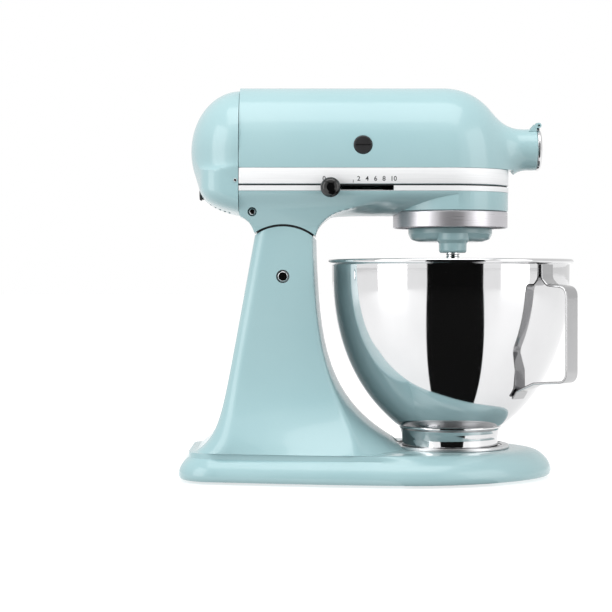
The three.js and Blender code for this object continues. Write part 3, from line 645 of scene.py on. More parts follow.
def soften(obj: Any, width: float) -> Any:
    """Rounds a piece's sharp edges.

    Args:
        obj: The object.
        width: Width in millimetres.

    Returns:
        The object.
    """
    modifier = obj.modifiers.new("edge", "BEVEL")
    modifier.width = width * MM
    modifier.segments = 2
    modifier.limit_method = "ANGLE"
    modifier.angle_limit = math.radians(32.0)
    modifier.harden_normals = False
    settle(obj, 50.0)
    return obj


def moved_to_bowl(obj: Any, degrees: float) -> Any:
    """Turns a piece made at the origin about Z and moves it to the bowl's axis."""
    turn = Matrix.Rotation(math.radians(degrees), 4, "Z")
    obj.data.transform(Matrix.Translation((BOWL_X * MM, 0, 0)) @ turn)
    return obj


def fan(radius: float, first: float, last: float, count: int) -> Profile:
    """A wedge about the hinge in X and Z.

    Args:
        radius: The wedge's reach.
        first: Angle in degrees from straight up, rearwards.
        last: Angle where it ends.
        count: Points of the arc.

    Returns:
        The wedge's outline.
    """
    x, _, z = HINGE
    arc = [(x - radius * math.sin(a), z + radius * math.cos(a))
           for a in map(math.radians, np.linspace(first, last, count))]
    return [(x, z)] + arc


def spokes(around: int) -> Points:
    """Unit directions around the X axis."""
    turn = np.arange(around) * 2 * math.pi / around
    return np.stack([np.zeros(around), np.cos(turn), np.sin(turn)], axis=-1)


def leaning(flat: Points, polar: float, facing: int) -> Points:
    """Directions at an angle to the X axis.

    Args:
        flat: Directions square to the axis.
        polar: The angle.
        facing: 1 towards +X, -1 towards -X.

    Returns:
        The directions.
    """
    directions = flat * math.sin(polar)
    directions[:, 0] = facing * math.cos(polar)
    return directions


def reach(inside: Callable[[Points], Points], start: Points, directions: Points,
          far: float = 260.0) -> Points:
    """Points where rays leave a region.

    Args:
        inside: Tells which points are inside.
        start: Where all rays start.
        directions: Unit directions.
        far: Longest ray.

    Returns:
        The points on the region's edge.
    """
    low = np.zeros(len(directions))
    high = np.full(len(directions), far)
    for _ in range(34):
        middle = (low + high) / 2
        hit = inside(start + directions * middle[:, None])
        low = np.where(hit, middle, low)
        high = np.where(hit, high, middle)
    return start + directions * low[:, None]


def soft_union(first: Points, second: Points, radius: float) -> Points:
    """Joins two depth fields with a fillet.

    Args:
        first: Depth inside one shape, negative outside.
        second: Depth inside the other.
        radius: Width of the fillet.

    Returns:
        Depth inside the joined shape.
    """
    near = np.maximum(radius - np.abs(first - second), 0) / radius
    return np.maximum(first, second) + near * near * radius / 4


def dress(obj: Any, body: Body, material: Any, slot: str, *nodes: str) -> Any:
    """Finishes a piece.

    Args:
        obj: The piece.
        body: The moving body that it rides on.
        material: Its material.
        slot: The record's material slot; not used.
        nodes: The frame's nodes that it stands for.

    Returns:
        The piece.
    """
    obj.data.materials.clear()
    obj.data.materials.append(material)
    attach(obj, body.value)
    if nodes:
        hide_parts(*nodes)
    log.info("piece %s on %s", obj.name, body.value)
    return obj


# ---------------------------------------------------------------- repeats by geometry nodes


@dataclass
class Repeater:
    """Geometry-node trees that place copies of one item in a row or a ring."""

    trees: dict[str, Any] = field(default_factory=dict)

    def _start(self, name: str, inputs: Sequence[tuple[str, str, Any]]) -> tuple[Any, Any, Any]:
        """Starts a tree with named inputs.

        Args:
            name: The tree's name.
            inputs: Name, socket type and default of each input.

        Returns:
            The tree, its input node and its output node.
        """
        tree = bpy.data.node_groups.new(name, "GeometryNodeTree")
        tree.interface.new_socket("Item", in_out="INPUT", socket_type="NodeSocketGeometry")
        for label, kind, default in inputs:
            made = tree.interface.new_socket(label, in_out="INPUT", socket_type=kind)
            if default is not None:
                made.default_value = default
        tree.interface.new_socket("Copies", in_out="OUTPUT", socket_type="NodeSocketGeometry")
        return tree, tree.nodes.new("NodeGroupInput"), tree.nodes.new("NodeGroupOutput")

    def _end(self, tree: Any, entry: Any, leave: Any, points: Any, rotation: Any | None) -> None:
        """Ends a tree: copies on points, real meshes, one finish.

        Args:
            tree: The tree.
            entry: Its input node.
            leave: Its output node.
            points: The socket with the points.
            rotation: The socket with each copy's rotation, if they turn.
        """
        inputs = {"Points": points, "Instance": entry.outputs["Item"]}
        if rotation is not None:
            inputs["Rotation"] = rotation
        copies = add_node(tree, "GeometryNodeInstanceOnPoints", {}, inputs)
        real = add_node(tree, "GeometryNodeRealizeInstances", {}, {0: copies.outputs[0]})
        finish = add_node(tree, "GeometryNodeSetMaterial", {},
                          {"Geometry": real.outputs[0], "Material": entry.outputs["Finish"]})
        feed(tree, leave.inputs[0], finish.outputs[0])

    def row_tree(self) -> Any:
        """A tree that lays copies in a row.

        Returns:
            The tree.
        """
        if "row" not in self.trees:
            tree, entry, leave = self._start("copies_in_a_row", [
                ("Count", "NodeSocketInt", 3), ("Step", "NodeSocketVector", (0.01, 0, 0)),
                ("Finish", "NodeSocketMaterial", None)])
            line = add_node(tree, "GeometryNodeMeshLine", {"mode": "OFFSET"},
                            {"Count": entry.outputs["Count"], "Offset": entry.outputs["Step"]})
            self._end(tree, entry, leave, line.outputs[0], None)
            self.trees["row"] = tree
        return self.trees["row"]

    def ring_tree(self) -> Any:
        """A tree that lays copies in a ring about Z, each turned with its place.

        Returns:
            The tree.
        """
        if "ring" not in self.trees:
            tree, entry, leave = self._start("copies_in_a_ring", [
                ("Count", "NodeSocketInt", 8), ("Radius", "NodeSocketFloat", 0.01),
                ("Finish", "NodeSocketMaterial", None)])
            count = entry.outputs["Count"]
            circle = add_node(tree, "GeometryNodeMeshCircle", {},
                              {"Vertices": count, "Radius": entry.outputs["Radius"]})
            index = add_node(tree, "GeometryNodeInputIndex")
            step = add_node(tree, "ShaderNodeMath", {"operation": "DIVIDE"},
                            {0: 2 * math.pi, 1: count})
            turn = add_node(tree, "ShaderNodeMath", {"operation": "MULTIPLY"},
                            {0: index.outputs[0], 1: step.outputs[0]})
            vector = add_node(tree, "ShaderNodeCombineXYZ", {}, {"Z": turn.outputs[0]})
            rotation = add_node(tree, "FunctionNodeEulerToRotation", {}, {0: vector.outputs[0]})
            self._end(tree, entry, leave, circle.outputs[0], rotation.outputs[0])
            self.trees["ring"] = tree
        return self.trees["ring"]

    def lay(self, item: Any, tree: Any, place: Matrix, **values: Any) -> Any:
        """Runs a tree on an item and keeps the result as a plain mesh.

        Args:
            item: One copy, made at the origin.
            tree: The row or ring tree.
            place: Where the set goes, in millimetres.
            values: The tree's named inputs.

        Returns:
            The item's object, now holding every copy.
        """
        modifier = item.modifiers.new("copies", "NODES")
        modifier.node_group = tree
        sockets = {s.name: s.identifier for s in tree.interface.items_tree if s.in_out == "INPUT"}
        for name, value in values.items():
            modifier[sockets[name]] = value
        settle(item, 35.0)
        place = place.copy()
        place.translation *= MM
        item.data.transform(place)
        return item


# ---------------------------------------------------------------- base


@dataclass(frozen=True)
class Flare:
    """A widening towards the foot that dies away with height."""

    width: float
    z: float
    length: float

    def at(self, z: float) -> float:
        """The widening at a height."""
        return self.width * math.exp(-(z - self.z) / self.length)


@dataclass
class BaseCasting:
    """The one-piece foot plate and column."""

    finishes: Finishes
    front_x: float = 27.5
    front_reach: float = 130.5
    half_width: float = 99.5
    power: float = 1.85
    taper: float = 0.0168
    taper_power: float = 1.43
    rear_x: float = -177.5
    rear_radius: float = 35.0
    top: float = 26.5
    wall: float = 5.0
    arc: float = 44.3
    column_top_z: float = 219.0
    column_front_x: float = -56.0
    column_rear_x: float = -109.9
    column_half_width: float = 38.0
    rear_slope: float = 0.181
    side_slope: float = 0.02
    front_flare: Flare = Flare(77.5, 32, 42)
    rear_flare: Flare = Flare(30, 20, 13)
    side_flare: Flare = Flare(50, 26, 35)
    pin_reach: float = 38.9
    slot_half_width: float = 21.5
    steps: tuple[int, int, int, int] = (46, 40, 20, 12)
    edge: tuple[tuple[float, float], ...] = (
        (2.5, 2.2), (3.4, 0.9), (5.2, 0.2), (7.5, 0.0), (10.6, 0.5), (13.5, 1.8), (16.5, 3.6),
        (19.2, 6.2), (21.8, 9.2), (23.9, 12.6), (25.4, 16.6), (26.2, 20.6), (26.5, 25.0))
    levels: tuple[float, ...] = (
        26.9, 27.6, 28.6, 30, 31.8, 34, 36.5, 39.5, 43, 47, 51.5, 56.5, 62, 68, 75, 83, 92, 102, 113,
        125, 138, 152, 167, 183, 200, 230)

    def plate_half_width(self, x: Points) -> Points:
        """Half width of the plate behind its widest place."""
        return self.half_width - self.taper * np.maximum(self.front_x - x, 0) ** self.taper_power

    def stretches(self) -> list[tuple[str, Points]]:
        """The outline's stretches.

        Returns:
            Their names and sample places, without shared ends.
        """
        names = ("front", "side", "corner", "rear")
        result = [(name, np.arange(count) / count) for name, count in zip(names, self.steps)]
        result[-1] = ("rear", np.linspace(0, 1, self.steps[-1] + 1))
        return result

    def plate_outline(self) -> Points:
        """Half outline of the plate.

        Returns:
            Points from front to rear.
        """
        corner_x = self.rear_x + self.rear_radius
        corner_y = float(self.plate_half_width(np.array(corner_x))) - self.rear_radius
        parts = []
        for name, t in self.stretches():
            if name == "front":
                x = self.front_x + self.front_reach * np.cos(t * math.pi / 2) ** (2 / self.power)
                y = self.half_width * np.sin(t * math.pi / 2) ** (2 / self.power)
            elif name == "side":
                x = self.front_x + (corner_x - self.front_x) * t
                y = self.plate_half_width(x)
            elif name == "corner":
                x = corner_x - self.rear_radius * np.sin(t * math.pi / 2)
                y = corner_y + self.rear_radius * np.cos(t * math.pi / 2)
            else:
                x = np.full(t.shape, self.rear_x)
                y = corner_y * (1 - t)
            parts.append(np.stack([x, y], axis=-1))
        return np.concatenate(parts)

    def column_outline(self, z: float, inset: float = 0.0) -> Points:
        """Half outline of the column at a height.

        Args:
            z: Height.
            inset: How far inside the surface.

        Returns:
            Points from front to rear.
        """
        foot = math.exp(-(z - self.top) / 20)
        drop = self.column_top_z - z
        front = self.column_front_x - inset + self.front_flare.at(z)
        rear = self.column_rear_x + inset - self.rear_slope * drop - self.rear_flare.at(z)
        half = self.column_half_width - inset + self.side_slope * drop + self.side_flare.at(z)
        crown = 4 + 56 * foot
        radius = 11 + 19 * foot
        base_width = float(self.plate_half_width(np.array(front)))

        def side(x: Points) -> Points:
            """Half width of the side at a place."""
            return half * (1 + foot * (self.plate_half_width(x) / base_width - 1))

        corner_x = rear + radius
        corner_y = float(side(np.array(corner_x))) - radius
        parts = []
        for name, t in self.stretches():
            if name == "front":
                x, y = front - crown * t * t, half * t
            elif name == "side":
                x = front - crown + (corner_x - front + crown) * t
                y = side(x)
            elif name == "corner":
                x = corner_x - radius * np.sin(t * math.pi / 2)
                y = corner_y + radius * np.cos(t * math.pi / 2)
            else:
                x = np.full(t.shape, rear)
                y = corner_y * (1 - t)
            parts.append(np.stack([x, y], axis=-1))
        return np.concatenate(parts)

    @staticmethod
    def closed(half: Points) -> Points:
        """A half outline with its mirror image."""
        return np.concatenate([half, half[1:-1][::-1] * np.array([1, -1])])

    def whole(self, half: Points, z: float, rounds: int) -> Points:
        """Mirrors a half outline into a level ring and rounds its corners.

        Args:
            half: Half outline.
            z: Height of the ring.
            rounds: How often the ring is averaged with its neighbours.

        Returns:
            The ring's points.
        """
        ring = self.closed(half)
        for _ in range(rounds):
            ring = (np.roll(ring, 1, axis=0) + 2 * ring + np.roll(ring, -1, axis=0)) / 4
        return np.concatenate([ring, np.full((len(ring), 1), z)], axis=1)

    def inset_outline(self, inset: float) -> Points:
        """The plate's half outline moved inwards, less so where the column's foot runs out.

        Args:
            inset: How far inwards at the front.

        Returns:
            Points from front to rear.
        """
        outline = self.plate_outline()
        ends = np.concatenate([outline[1:2] * [1, -1], outline, outline[-2:-1] * [1, -1]])
        tangent = ends[2:] - ends[:-2]
        tangent /= np.linalg.norm(tangent, axis=1)[:, None]
        weight = np.clip((outline[:, 0] + 10) / 70, 0, 1)
        weight = weight * weight * (3 - 2 * weight)
        distance = min(inset, 9.0) * (1 - weight) + inset * weight
        return outline + distance[:, None] * np.stack([-tangent[:, 1], tangent[:, 0]], axis=-1)

    def build(self) -> None:
        """Builds and dresses the casting, the dark strip of painted shade in the neck gap, the hinge pin
        and bushes.
        """
        self.build_shell()
        # Dark rubber strip in the neck gap: painted shade, not a real liner.
        self.build_seam_liner()
        self.build_pin()

    def build_shell(self) -> None:
        """The casting, hollow from below."""
        rings = [self.whole(self.inset_outline(inset), z, 2) for z, inset in self.edge]
        rings += [self.whole(self.column_outline(z), z, 5) for z in self.levels]
        shell = rings_piece("casting", np.array(rings), 38.0)
        hinge_z = HINGE[2]
        round_top = rod("top_tool", self.arc, -120, 120, Axis.Y, HINGE, 256)
        combine(round_top, [block("low_tool", (-220, -130, -20), (220, 130, hinge_z))], "UNION")
        combine(shell, [round_top], "INTERSECT", 38.0)
        inner = rings_piece("hollow_tool", np.array([
            np.clip(self.whole(self.column_outline(z, self.wall), z, 2), (-150, -66, 0), (300, 66, 300))
            for z in (20, 34, 52, 82, 150, 230)]))
        ceiling = rod("ceiling_tool", self.arc - 4, -80, 80, Axis.Y, HINGE, 96)
        combine(ceiling, [block("low_hollow", (-170, -80, 10), (10, 80, hinge_z))], "UNION")
        combine(inner, [ceiling], "INTERSECT")
        under = [tuple(p) for p in self.closed(self.inset_outline(16.0))]
        combine(shell, [
            inner,
            slab("under_tool", under, 0, self.top - self.wall),
            rod("seat_tool", 54.1, self.top, 60, Axis.Z, BOWL_AXIS, 160),
            side_slab("slot_tool", fan(60, -36, 28, 9), -self.slot_half_width, self.slot_half_width),
            rod("pin_tool", 5.9, -60, 60, Axis.Y, HINGE, 64),
            block("lock_tool", (-75, 25, 193), (-61, 60, 202)),
        ], "DIFFERENCE", 38.0)
        dress(shell, Body.BASE, self.finishes.enamel, "enamel", "base_casting")

    def build_seam_liner(self) -> None:
        """The dark strip in the joint between the column and the head's neck: painted shade that fills
        the gap, which is in shadow.
        """
        gap_shade = rings_piece("seam_gap_shade", np.array([
            self.whole(self.column_outline(z, 1.4), z, 5) for z in np.linspace(205, 228, 8)]))
        low, high = self.arc - 1.5, self.arc + 1.6
        keep = turned("keep_tool", [(low, -60), (high, -60), (high, 60), (low, 60)], Axis.Y, HINGE, 192)
        combine(gap_shade, [keep], "INTERSECT")
        combine(gap_shade, [block("slot_tool", (-140, -22, 190), (-20, 22, 240))])
        dress(gap_shade, Body.BASE, self.finishes.rubber, "rubber")

    def build_pin(self) -> None:
        """The hinge pin and the bush around each of its ends."""
        end, side = self.pin_reach, self.pin_reach - 0.6
        pin = turned("hinge_pin_ends", [
            (0, -end), (3.9, -end, 0.5), (4.7, -side, 0.6), (4.7, side, 0.6), (3.9, end, 0.5), (0, end)],
            Axis.Y, HINGE, 64)
        dress(pin, Body.BASE, self.finishes.polished, "polished", "hinge_pin")
        for label, sign in (("near", -1), ("far", 1)):
            inner, outer = sign * 33, sign * 38.2
            ring = turned(f"hinge_bush_{label}", [(4.8, inner), (5.8, inner), (5.8, outer, 0.2),
                                                  (4.8, outer, 0.2)], Axis.Y, HINGE, 64)
            dress(ring, Body.BASE, self.finishes.steel, "steel")


@dataclass
class BaseFittings:
    """The bowl's clamp plate with its screws, and the rubber feet."""

    finishes: Finishes
    repeater: Repeater
    outer: float = 53.5
    floor_z: float = 26.8
    top: float = 29.5

    def build(self) -> None:
        """Builds and dresses the fittings."""
        self.build_clamp_ring()
        self.build_screws()
        self.build_feet()

    def build_clamp_ring(self) -> None:
        """The clamp plate's ring with three entries for the bowl's tabs."""
        inner, seat = 47, self.top - 0.35
        ring = turned("clamp_ring", [
            (8, self.floor_z), (self.outer, self.floor_z, 0.2), (self.outer, self.top, 1.0),
            (50.6, self.top, 0.5), (49.9, seat, 0.3), (inner, seat, 0.3), (inner, 28.6, 0.2), (52, 28.6),
            (52, 27.4), (8, 27.4, 0.2)], Axis.Z, BOWL_AXIS, 160)
        combine(ring, [moved_to_bowl(block("notch_tool", (43, -10, 27.6), (51, 10, 31)), 30 + 120 * i)
                       for i in range(3)])
        dress(ring, Body.BASE, self.finishes.brushed, "brushed", "bowl_clamp_plate")

    def build_screws(self) -> None:
        """The three cross-headed screws in the clamp plate."""
        head = turned("clamp_screw_heads", [
            (0, 0), (4, 0, 0.2), (4, 1.0, 0.5), (2.6, 1.7, 0.6), (0, 1.8)], segments=40)
        combine(head, [block("slot_a", (-2.4, -0.45, 1.0), (2.4, 0.45, 3)),
                       block("slot_b", (-0.45, -2.4, 1.0), (0.45, 2.4, 3))])
        self.repeater.lay(head, self.repeater.ring_tree(), Matrix.Translation((BOWL_X, 0, 27.7)),
                          Count=3, Radius=25 * MM, Finish=self.finishes.steel)
        dress(head, Body.BASE, self.finishes.steel, "steel", "clamp_plate_screw_1",
              "clamp_plate_screw_2", "clamp_plate_screw_3")

    def build_feet(self) -> None:
        """A foot with a hollow middle at each of the frame's feet."""
        for i in range(1, 6):
            low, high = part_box(f"foot_{i}")
            x, y = (low[0] + high[0]) / 2 / MM, (low[1] + high[1]) / 2 / MM
            foot = turned(f"rubber_foot_{i}", [
                (0, 0.8), (2.5, 0.8, 0.4), (3.2, 0, 0.4), (7.4, 0, 0.8), (9, 1.6, 0.8), (9, 4.7, 0.3),
                (0, 4.7)], Axis.Z, (x, y, 0), 64)
            dress(foot, Body.BASE, self.finishes.rubber, "rubber", f"foot_{i}")


@dataclass
class HeadLock:
    """The lever that locks the head down."""

    finishes: Finishes
    x: float = -63.75
    z: float = 197.5

    def build(self) -> None:
        """Builds and dresses the lever."""
        lever = turned("lock_knob", [
            (0, 41.3), (5.6, 41.3), (6.6, 42.2, 0.6), (8, 43.2, 0.8), (8, 47.4, 1.4), (6.0, 49.8, 1.6),
            (0, 50)], Axis.Y, (self.x, 0, self.z), 72)
        dress(lever, Body.LOCK, self.finishes.black, "black", "lock_lever")


# ---------------------------------------------------------------- bowl


@dataclass
class Bowl:
    """The spun bowl with its rolled rim, foot and strap handle."""

    finishes: Finishes
    rim_radius: float = 108.9
    rim_z: float = 195.0
    bead: float = 2.0
    wall: float = 1.3
    curve: tuple[tuple[float, float], ...] = ((107.3, 182.5), (107, 120), (85, 75), (49.2, 47.7))
    handle_angle: float = -45.0
    strap_half_width: float = 8.0

    def side_point(self, t: float, stand_off: float = 0.0) -> tuple[float, float]:
        """A point of the bowl's outside.

        Args:
            t: Place from the top of the curve, 0, to the crease, 1.
            stand_off: How far outside the surface.

        Returns:
            Radius and height.
        """
        p = [np.array(c) for c in self.curve]
        spot = (p[0] * (1 - t) ** 3 + p[1] * 3 * t * (1 - t) ** 2 + p[2] * 3 * t * t * (1 - t)
                + p[3] * t ** 3)
        slope = ((p[1] - p[0]) * (1 - t) ** 2 + (p[2] - p[1]) * 2 * t * (1 - t)
                 + (p[3] - p[2]) * t * t)
        slope = slope / np.linalg.norm(slope)
        return (spot[0] - slope[1] * stand_off, spot[1] + slope[0] * stand_off)

    def place_at(self, z: float) -> float:
        """Where on the curve a height lies."""
        places = np.linspace(0, 1, 400)
        return float(places[np.argmin([abs(self.side_point(t)[1] - z) for t in places])])

    def build(self) -> None:
        """Builds and dresses the bowl, its foot and its handle."""
        self.build_shell()
        self.build_foot()
        self.build_handle()

    def build_shell(self) -> None:
        """The bowl itself."""
        places = np.linspace(0, 1, 56)
        outside = [self.side_point(t) for t in places[::-1]]
        inside = [self.side_point(t, -self.wall) for t in places]
        rim = [(self.rim_radius + self.bead * math.cos(a), self.rim_z + self.bead * math.sin(a))
               for a in np.radians(np.linspace(-95, 215, 26))]
        profile = [(0, 48.7), (30, 48.6), (43, 48.0, 1.0), (47.4, 47.0, 1.0)] + outside
        profile += [(107.4, 188.5), (107.4, 192.4, 0.5)] + rim
        profile += [(106.1, 191.5), (106.0, 185.5)] + inside[:-1]
        profile += [(46, 50.0, 1.5), (30, 50.6), (0, 50.7)]
        shell = turned("bowl", profile, Axis.Z, BOWL_AXIS, 192, 40.0)
        dress(shell, Body.BOWL, self.finishes.polished, "polished", "bowl_shell")

    def build_foot(self) -> None:
        """The waisted foot with its three locking tabs."""
        foot = turned("bowl_foot", [
            (41.6, 27.8), (43.6, 27.8, 0.3), (43.4, 31), (43.4, 35, 3), (44.4, 40.5, 3),
            (45.2, 43.4, 1.5), (46.8, 45.2, 1.0), (46.8, 46.8, 0.5), (39, 46.8), (39, 45.4),
            (43.2, 44, 1.0),
            (42.8, 41, 2), (41.6, 35, 2)], Axis.Z, BOWL_AXIS, 160, 40.0)
        tabs = [moved_to_bowl(block("tab_tool", (42.4, -8, 27.75), (50, 8, 28.35)), 120 * i)
                for i in range(3)]
        combine(foot, tabs, "UNION", 40.0)
        dress(foot, Body.BOWL, self.finishes.polished, "polished", "bowl_foot_ring")

    def build_handle(self) -> None:
        """The strap handle with rounded edges, its low end laid against the bowl."""
        low = [self.side_point(self.place_at(z), 1.6) for z in (85, 82, 79, 75.5)]
        route = rounded([(108.9, 191.9), (108.9, 179.5, 7), (115, 173.8, 6), (135.1, 172.2, 9),
                         (135.3, 91.2, 9), (101, 88.8, 10), low[0], low[-1]], 10)
        keep = route[:-2] + [low[1], low[2], low[3]]
        line = np.array(self.even(keep, 1.2))
        wide, thick = self.strap_half_width, 1.0
        section = rounded([(-wide, -thick, 0.7), (wide, -thick, 0.7), (wide, thick, 0.7),
                           (-wide, thick, 0.7)], 4)
        tangent = np.gradient(line, axis=0)
        tangent /= np.linalg.norm(tangent, axis=1)[:, None]
        rings = [[(r - tz * b, a, z + tr * b) for a, b in section]
                 for (r, z), (tr, tz) in zip(line, tangent)]
        strap = rings_piece("bowl_handle_strap", np.array(rings), 40.0)
        tidy(moved_to_bowl(strap, self.handle_angle), 40.0)
        # The strap's darker steel is painted shade.
        dress(strap, Body.BOWL, self.finishes.strap, "polished", "bowl_handle")

    @staticmethod
    def even(points: Sequence[tuple[float, float]], step: float) -> list[tuple[float, float]]:
        """Resamples a line.

        Args:
            points: The line.
            step: Distance between new points.

        Returns:
            Points at even steps.
        """
        line = np.array(points)
        lengths = np.concatenate([[0], np.cumsum(np.linalg.norm(np.diff(line, axis=0), axis=1))])
        places = np.linspace(0, lengths[-1], int(lengths[-1] / step))
        return [(float(np.interp(s, lengths, line[:, 0])), float(np.interp(s, lengths, line[:, 1])))
                for s in places]


# ---------------------------------------------------------------- head


@dataclass
class HeadForm:
    """Sizes and fields shared by the head's shells."""

    seam_x: float = -123.5
    dome_x: float = 58.5
    dome_reach: float = 60.5
    half_width: float = 54.0
    arch_z: float = 277.0
    arch_height: float = 74.6
    arch_power: float = 2.2
    boat_z: float = 256.5
    boat_depth: float = 20.5
    boat_power: float = 1.7
    joint_z: float = 268.0
    neck_half_width: float = 38.0
    neck_flare_z: float = 225.0
    neck_low_z: float = 206.0
    neck_rear: tuple[tuple[float, float], ...] = (
        (-126, 237.5), (-122.5, 235), (-118, 232), (-114.6, 229), (-112.5, 225.7), (-110.8, 222),
        (-109.7, 218))
    neck_front: tuple[tuple[float, float], ...] = (
        (-55.6, 218), (-53.6, 224), (-50, 228.8), (-46.4, 232.4), (-41.7, 235.6), (-36.5, 238),
        (-30, 239.8), (-20, 242.6), (-8, 247), (6, 254), (22, 266), (40, 284))

    def arch_depth(self, p: Points, inset: float = 0.0) -> Points:
        """How deep points lie in the upper half.

        Args:
            p: The points.
            inset: How far inside the surface the depth starts.

        Returns:
            Depths, negative outside.
        """
        u = np.maximum(p[:, 0] - self.dome_x, 0) / (self.dome_reach - inset)
        w = np.abs(p[:, 1]) / (self.half_width - inset)
        v = np.maximum(p[:, 2] - self.arch_z, 0) / (self.arch_height - inset)
        power = self.arch_power
        norm = ((u * u + w * w) ** (power / 2) + v ** power) ** (1 / power)
        return np.minimum((1 - norm) * 56, p[:, 2] - 248)

    def boat_field(self, p: Points, inset: float = 0.0) -> Points:
        """How deep points lie in the boat-shaped lower half.

        Args:
            p: The points.
            inset: How far inside the surface the depth starts.

        Returns:
            Depths, negative outside.
        """
        u = np.maximum(p[:, 0] - self.dome_x, 0) / (self.dome_reach - inset)
        w = np.abs(p[:, 1]) / (self.half_width - inset)
        v = np.maximum(self.boat_z - p[:, 2], 0) / (self.boat_depth - 1.6 * inset)
        power = self.boat_power
        norm = ((u * u + w * w) ** (power / 2) + v ** power) ** (1 / power)
        return np.minimum((1 - norm) * 40, self.joint_z - p[:, 2])

    def neck_field(self, p: Points) -> Points:
        """How deep points lie in the neck under the head.

        Args:
            p: The points.

        Returns:
            Depths, negative outside.
        """
        rear = np.array(self.neck_rear)
        front = np.array(self.neck_front)
        bottom_rear = np.interp(p[:, 0], rear[:, 0], rear[:, 1], right=self.neck_low_z)
        bottom_front = np.interp(p[:, 0], front[:, 0], front[:, 1], left=self.neck_low_z)
        bottom = np.where(p[:, 0] < HINGE[0], bottom_rear, bottom_front)
        half = self.neck_half_width + 0.55 * np.maximum(p[:, 2] - self.neck_flare_z, 0) ** 0.9
        depth = np.minimum(half - np.abs(p[:, 1]), (p[:, 2] - bottom) * 0.75)
        return np.minimum(depth, self.joint_z - p[:, 2])

    def shell(self, name: str, inside: Callable[[Points], Points], axis_z: float, rear_x: float,
              stations: Points, polars: Points, around: int) -> Any:
        """Straight rings, then rays from the middle of the dome.

        Args:
            name: The piece's name.
            inside: Tells which points are inside.
            axis_z: Height of the middle line.
            rear_x: Where the piece starts.
            stations: Places of the straight rings.
            polars: Angles of the dome's rings from the front axis, falling.
            around: Points of a ring.

        Returns:
            The object.
        """
        flat = spokes(around)
        rings = [reach(inside, np.array([x, 0.0, axis_z]), flat) for x in stations]
        start = np.array([self.dome_x, 0.0, axis_z])
        rings += [reach(inside, start, leaning(flat, polar, 1)) for polar in polars]
        rings[0][:, 0] = rear_x
        return rings_piece(name, np.array(rings), 36.0)

    def outline(self, inset: float, rear_x: float, steps: int = 72) -> Profile:
        """Plan outline of the straight sides and the round front.

        Args:
            inset: How far inside the head's surface.
            rear_x: Where the sides end.
            steps: Pieces of the front.

        Returns:
            The outline.
        """
        side = self.half_width - inset
        reach_x = self.dome_reach - inset
        front = [(self.dome_x + reach_x * math.cos(a), side * math.sin(a))
                 for a in np.linspace(-math.pi / 2, math.pi / 2, steps + 1)]
        return [(rear_x, -side)] + front + [(rear_x, side)]

    def seat(self, low: float, high: float) -> Any:
        """A tool that cuts the seat of the trim into a shell.

        Args:
            low: Underside.
            high: Top.

        Returns:
            The tool.
        """
        ring = slab("seat_tool", self.outline(-5, self.seam_x - 5), low, high)
        return combine(ring, [slab("seat_core", self.outline(1.5, self.seam_x - 9), 230, 290)])

    def strip(self, name: str, outer: float, inner: float, low: float, high: float) -> Any:
        """A strip around the head, open at the rear.

        Args:
            name: The piece's name.
            outer: Inset of its outside.
            inner: Inset of its inside.
            low: Underside.
            high: Top.

        Returns:
            The object.
        """
        body = slab(name, self.outline(outer, self.seam_x), low, high)
        tool = slab("strip_tool", self.outline(inner, self.seam_x - 5), low - 1, high + 1)
        return combine(body, [tool])


@dataclass(frozen=True)
class CoverForm:
    """Sizes of the rear cover, a dome joined with a squared skirt."""

    seam_x: float = -123.5
    reach: float = 44.8
    half_width: float = 54.0
    centre_z: float = 294.0
    height: float = 55.0
    skirt_reach: float = 36.5
    skirt_half_width: float = 53.5
    skirt_top: float = 276.0
    skirt_bottom: float = 236.5
    skirt_rise: float = 0.28
    skirt_round: float = 16.0
    ray_z: float = 280.0

    def inside(self, p: Points, inset: float) -> Points:
        """Whether points are in the cover.

        Args:
            p: The points.
            inset: How far inside the surface.

        Returns:
            True for each point inside.
        """
        back = np.maximum(self.seam_x - p[:, 0], 0)
        norm = np.sqrt((back / (self.reach - inset)) ** 2 + (p[:, 1] / (self.half_width - inset)) ** 2
                       + ((p[:, 2] - self.centre_z) / (self.height - inset)) ** 2)
        floor = self.skirt_bottom + inset + self.skirt_rise * back
        low = np.maximum(floor + self.skirt_round - p[:, 2], 0) / self.skirt_round
        skirt = ((back / (self.skirt_reach - inset)) ** 4
                 + (np.abs(p[:, 1]) / (self.skirt_half_width - inset)) ** 4 + low ** 2.4) ** (1 / 4)
        skirt_depth = np.minimum((1 - skirt) * 45, (self.skirt_top - inset - p[:, 2]) * 0.42)
        return soft_union((1 - norm) * 50, skirt_depth, 7.0) > 0

    def body(self, name: str, inset: float, around: int, rings: int) -> Any:
        """One closed form of the cover.

        Args:
            name: The piece's name.
            inset: How far inside the surface.
            around: Points of a ring.
            rings: How many rings.

        Returns:
            The object.
        """
        flat, start = spokes(around), np.array([self.seam_x, 0.0, self.ray_z])
        layers = [reach(lambda p: self.inside(p, inset), start, leaning(flat, polar, -1), 120.0)
                  for polar in np.radians(np.linspace(90, 1.0, rings))]
        return rings_piece(name, np.array(layers), 40.0)


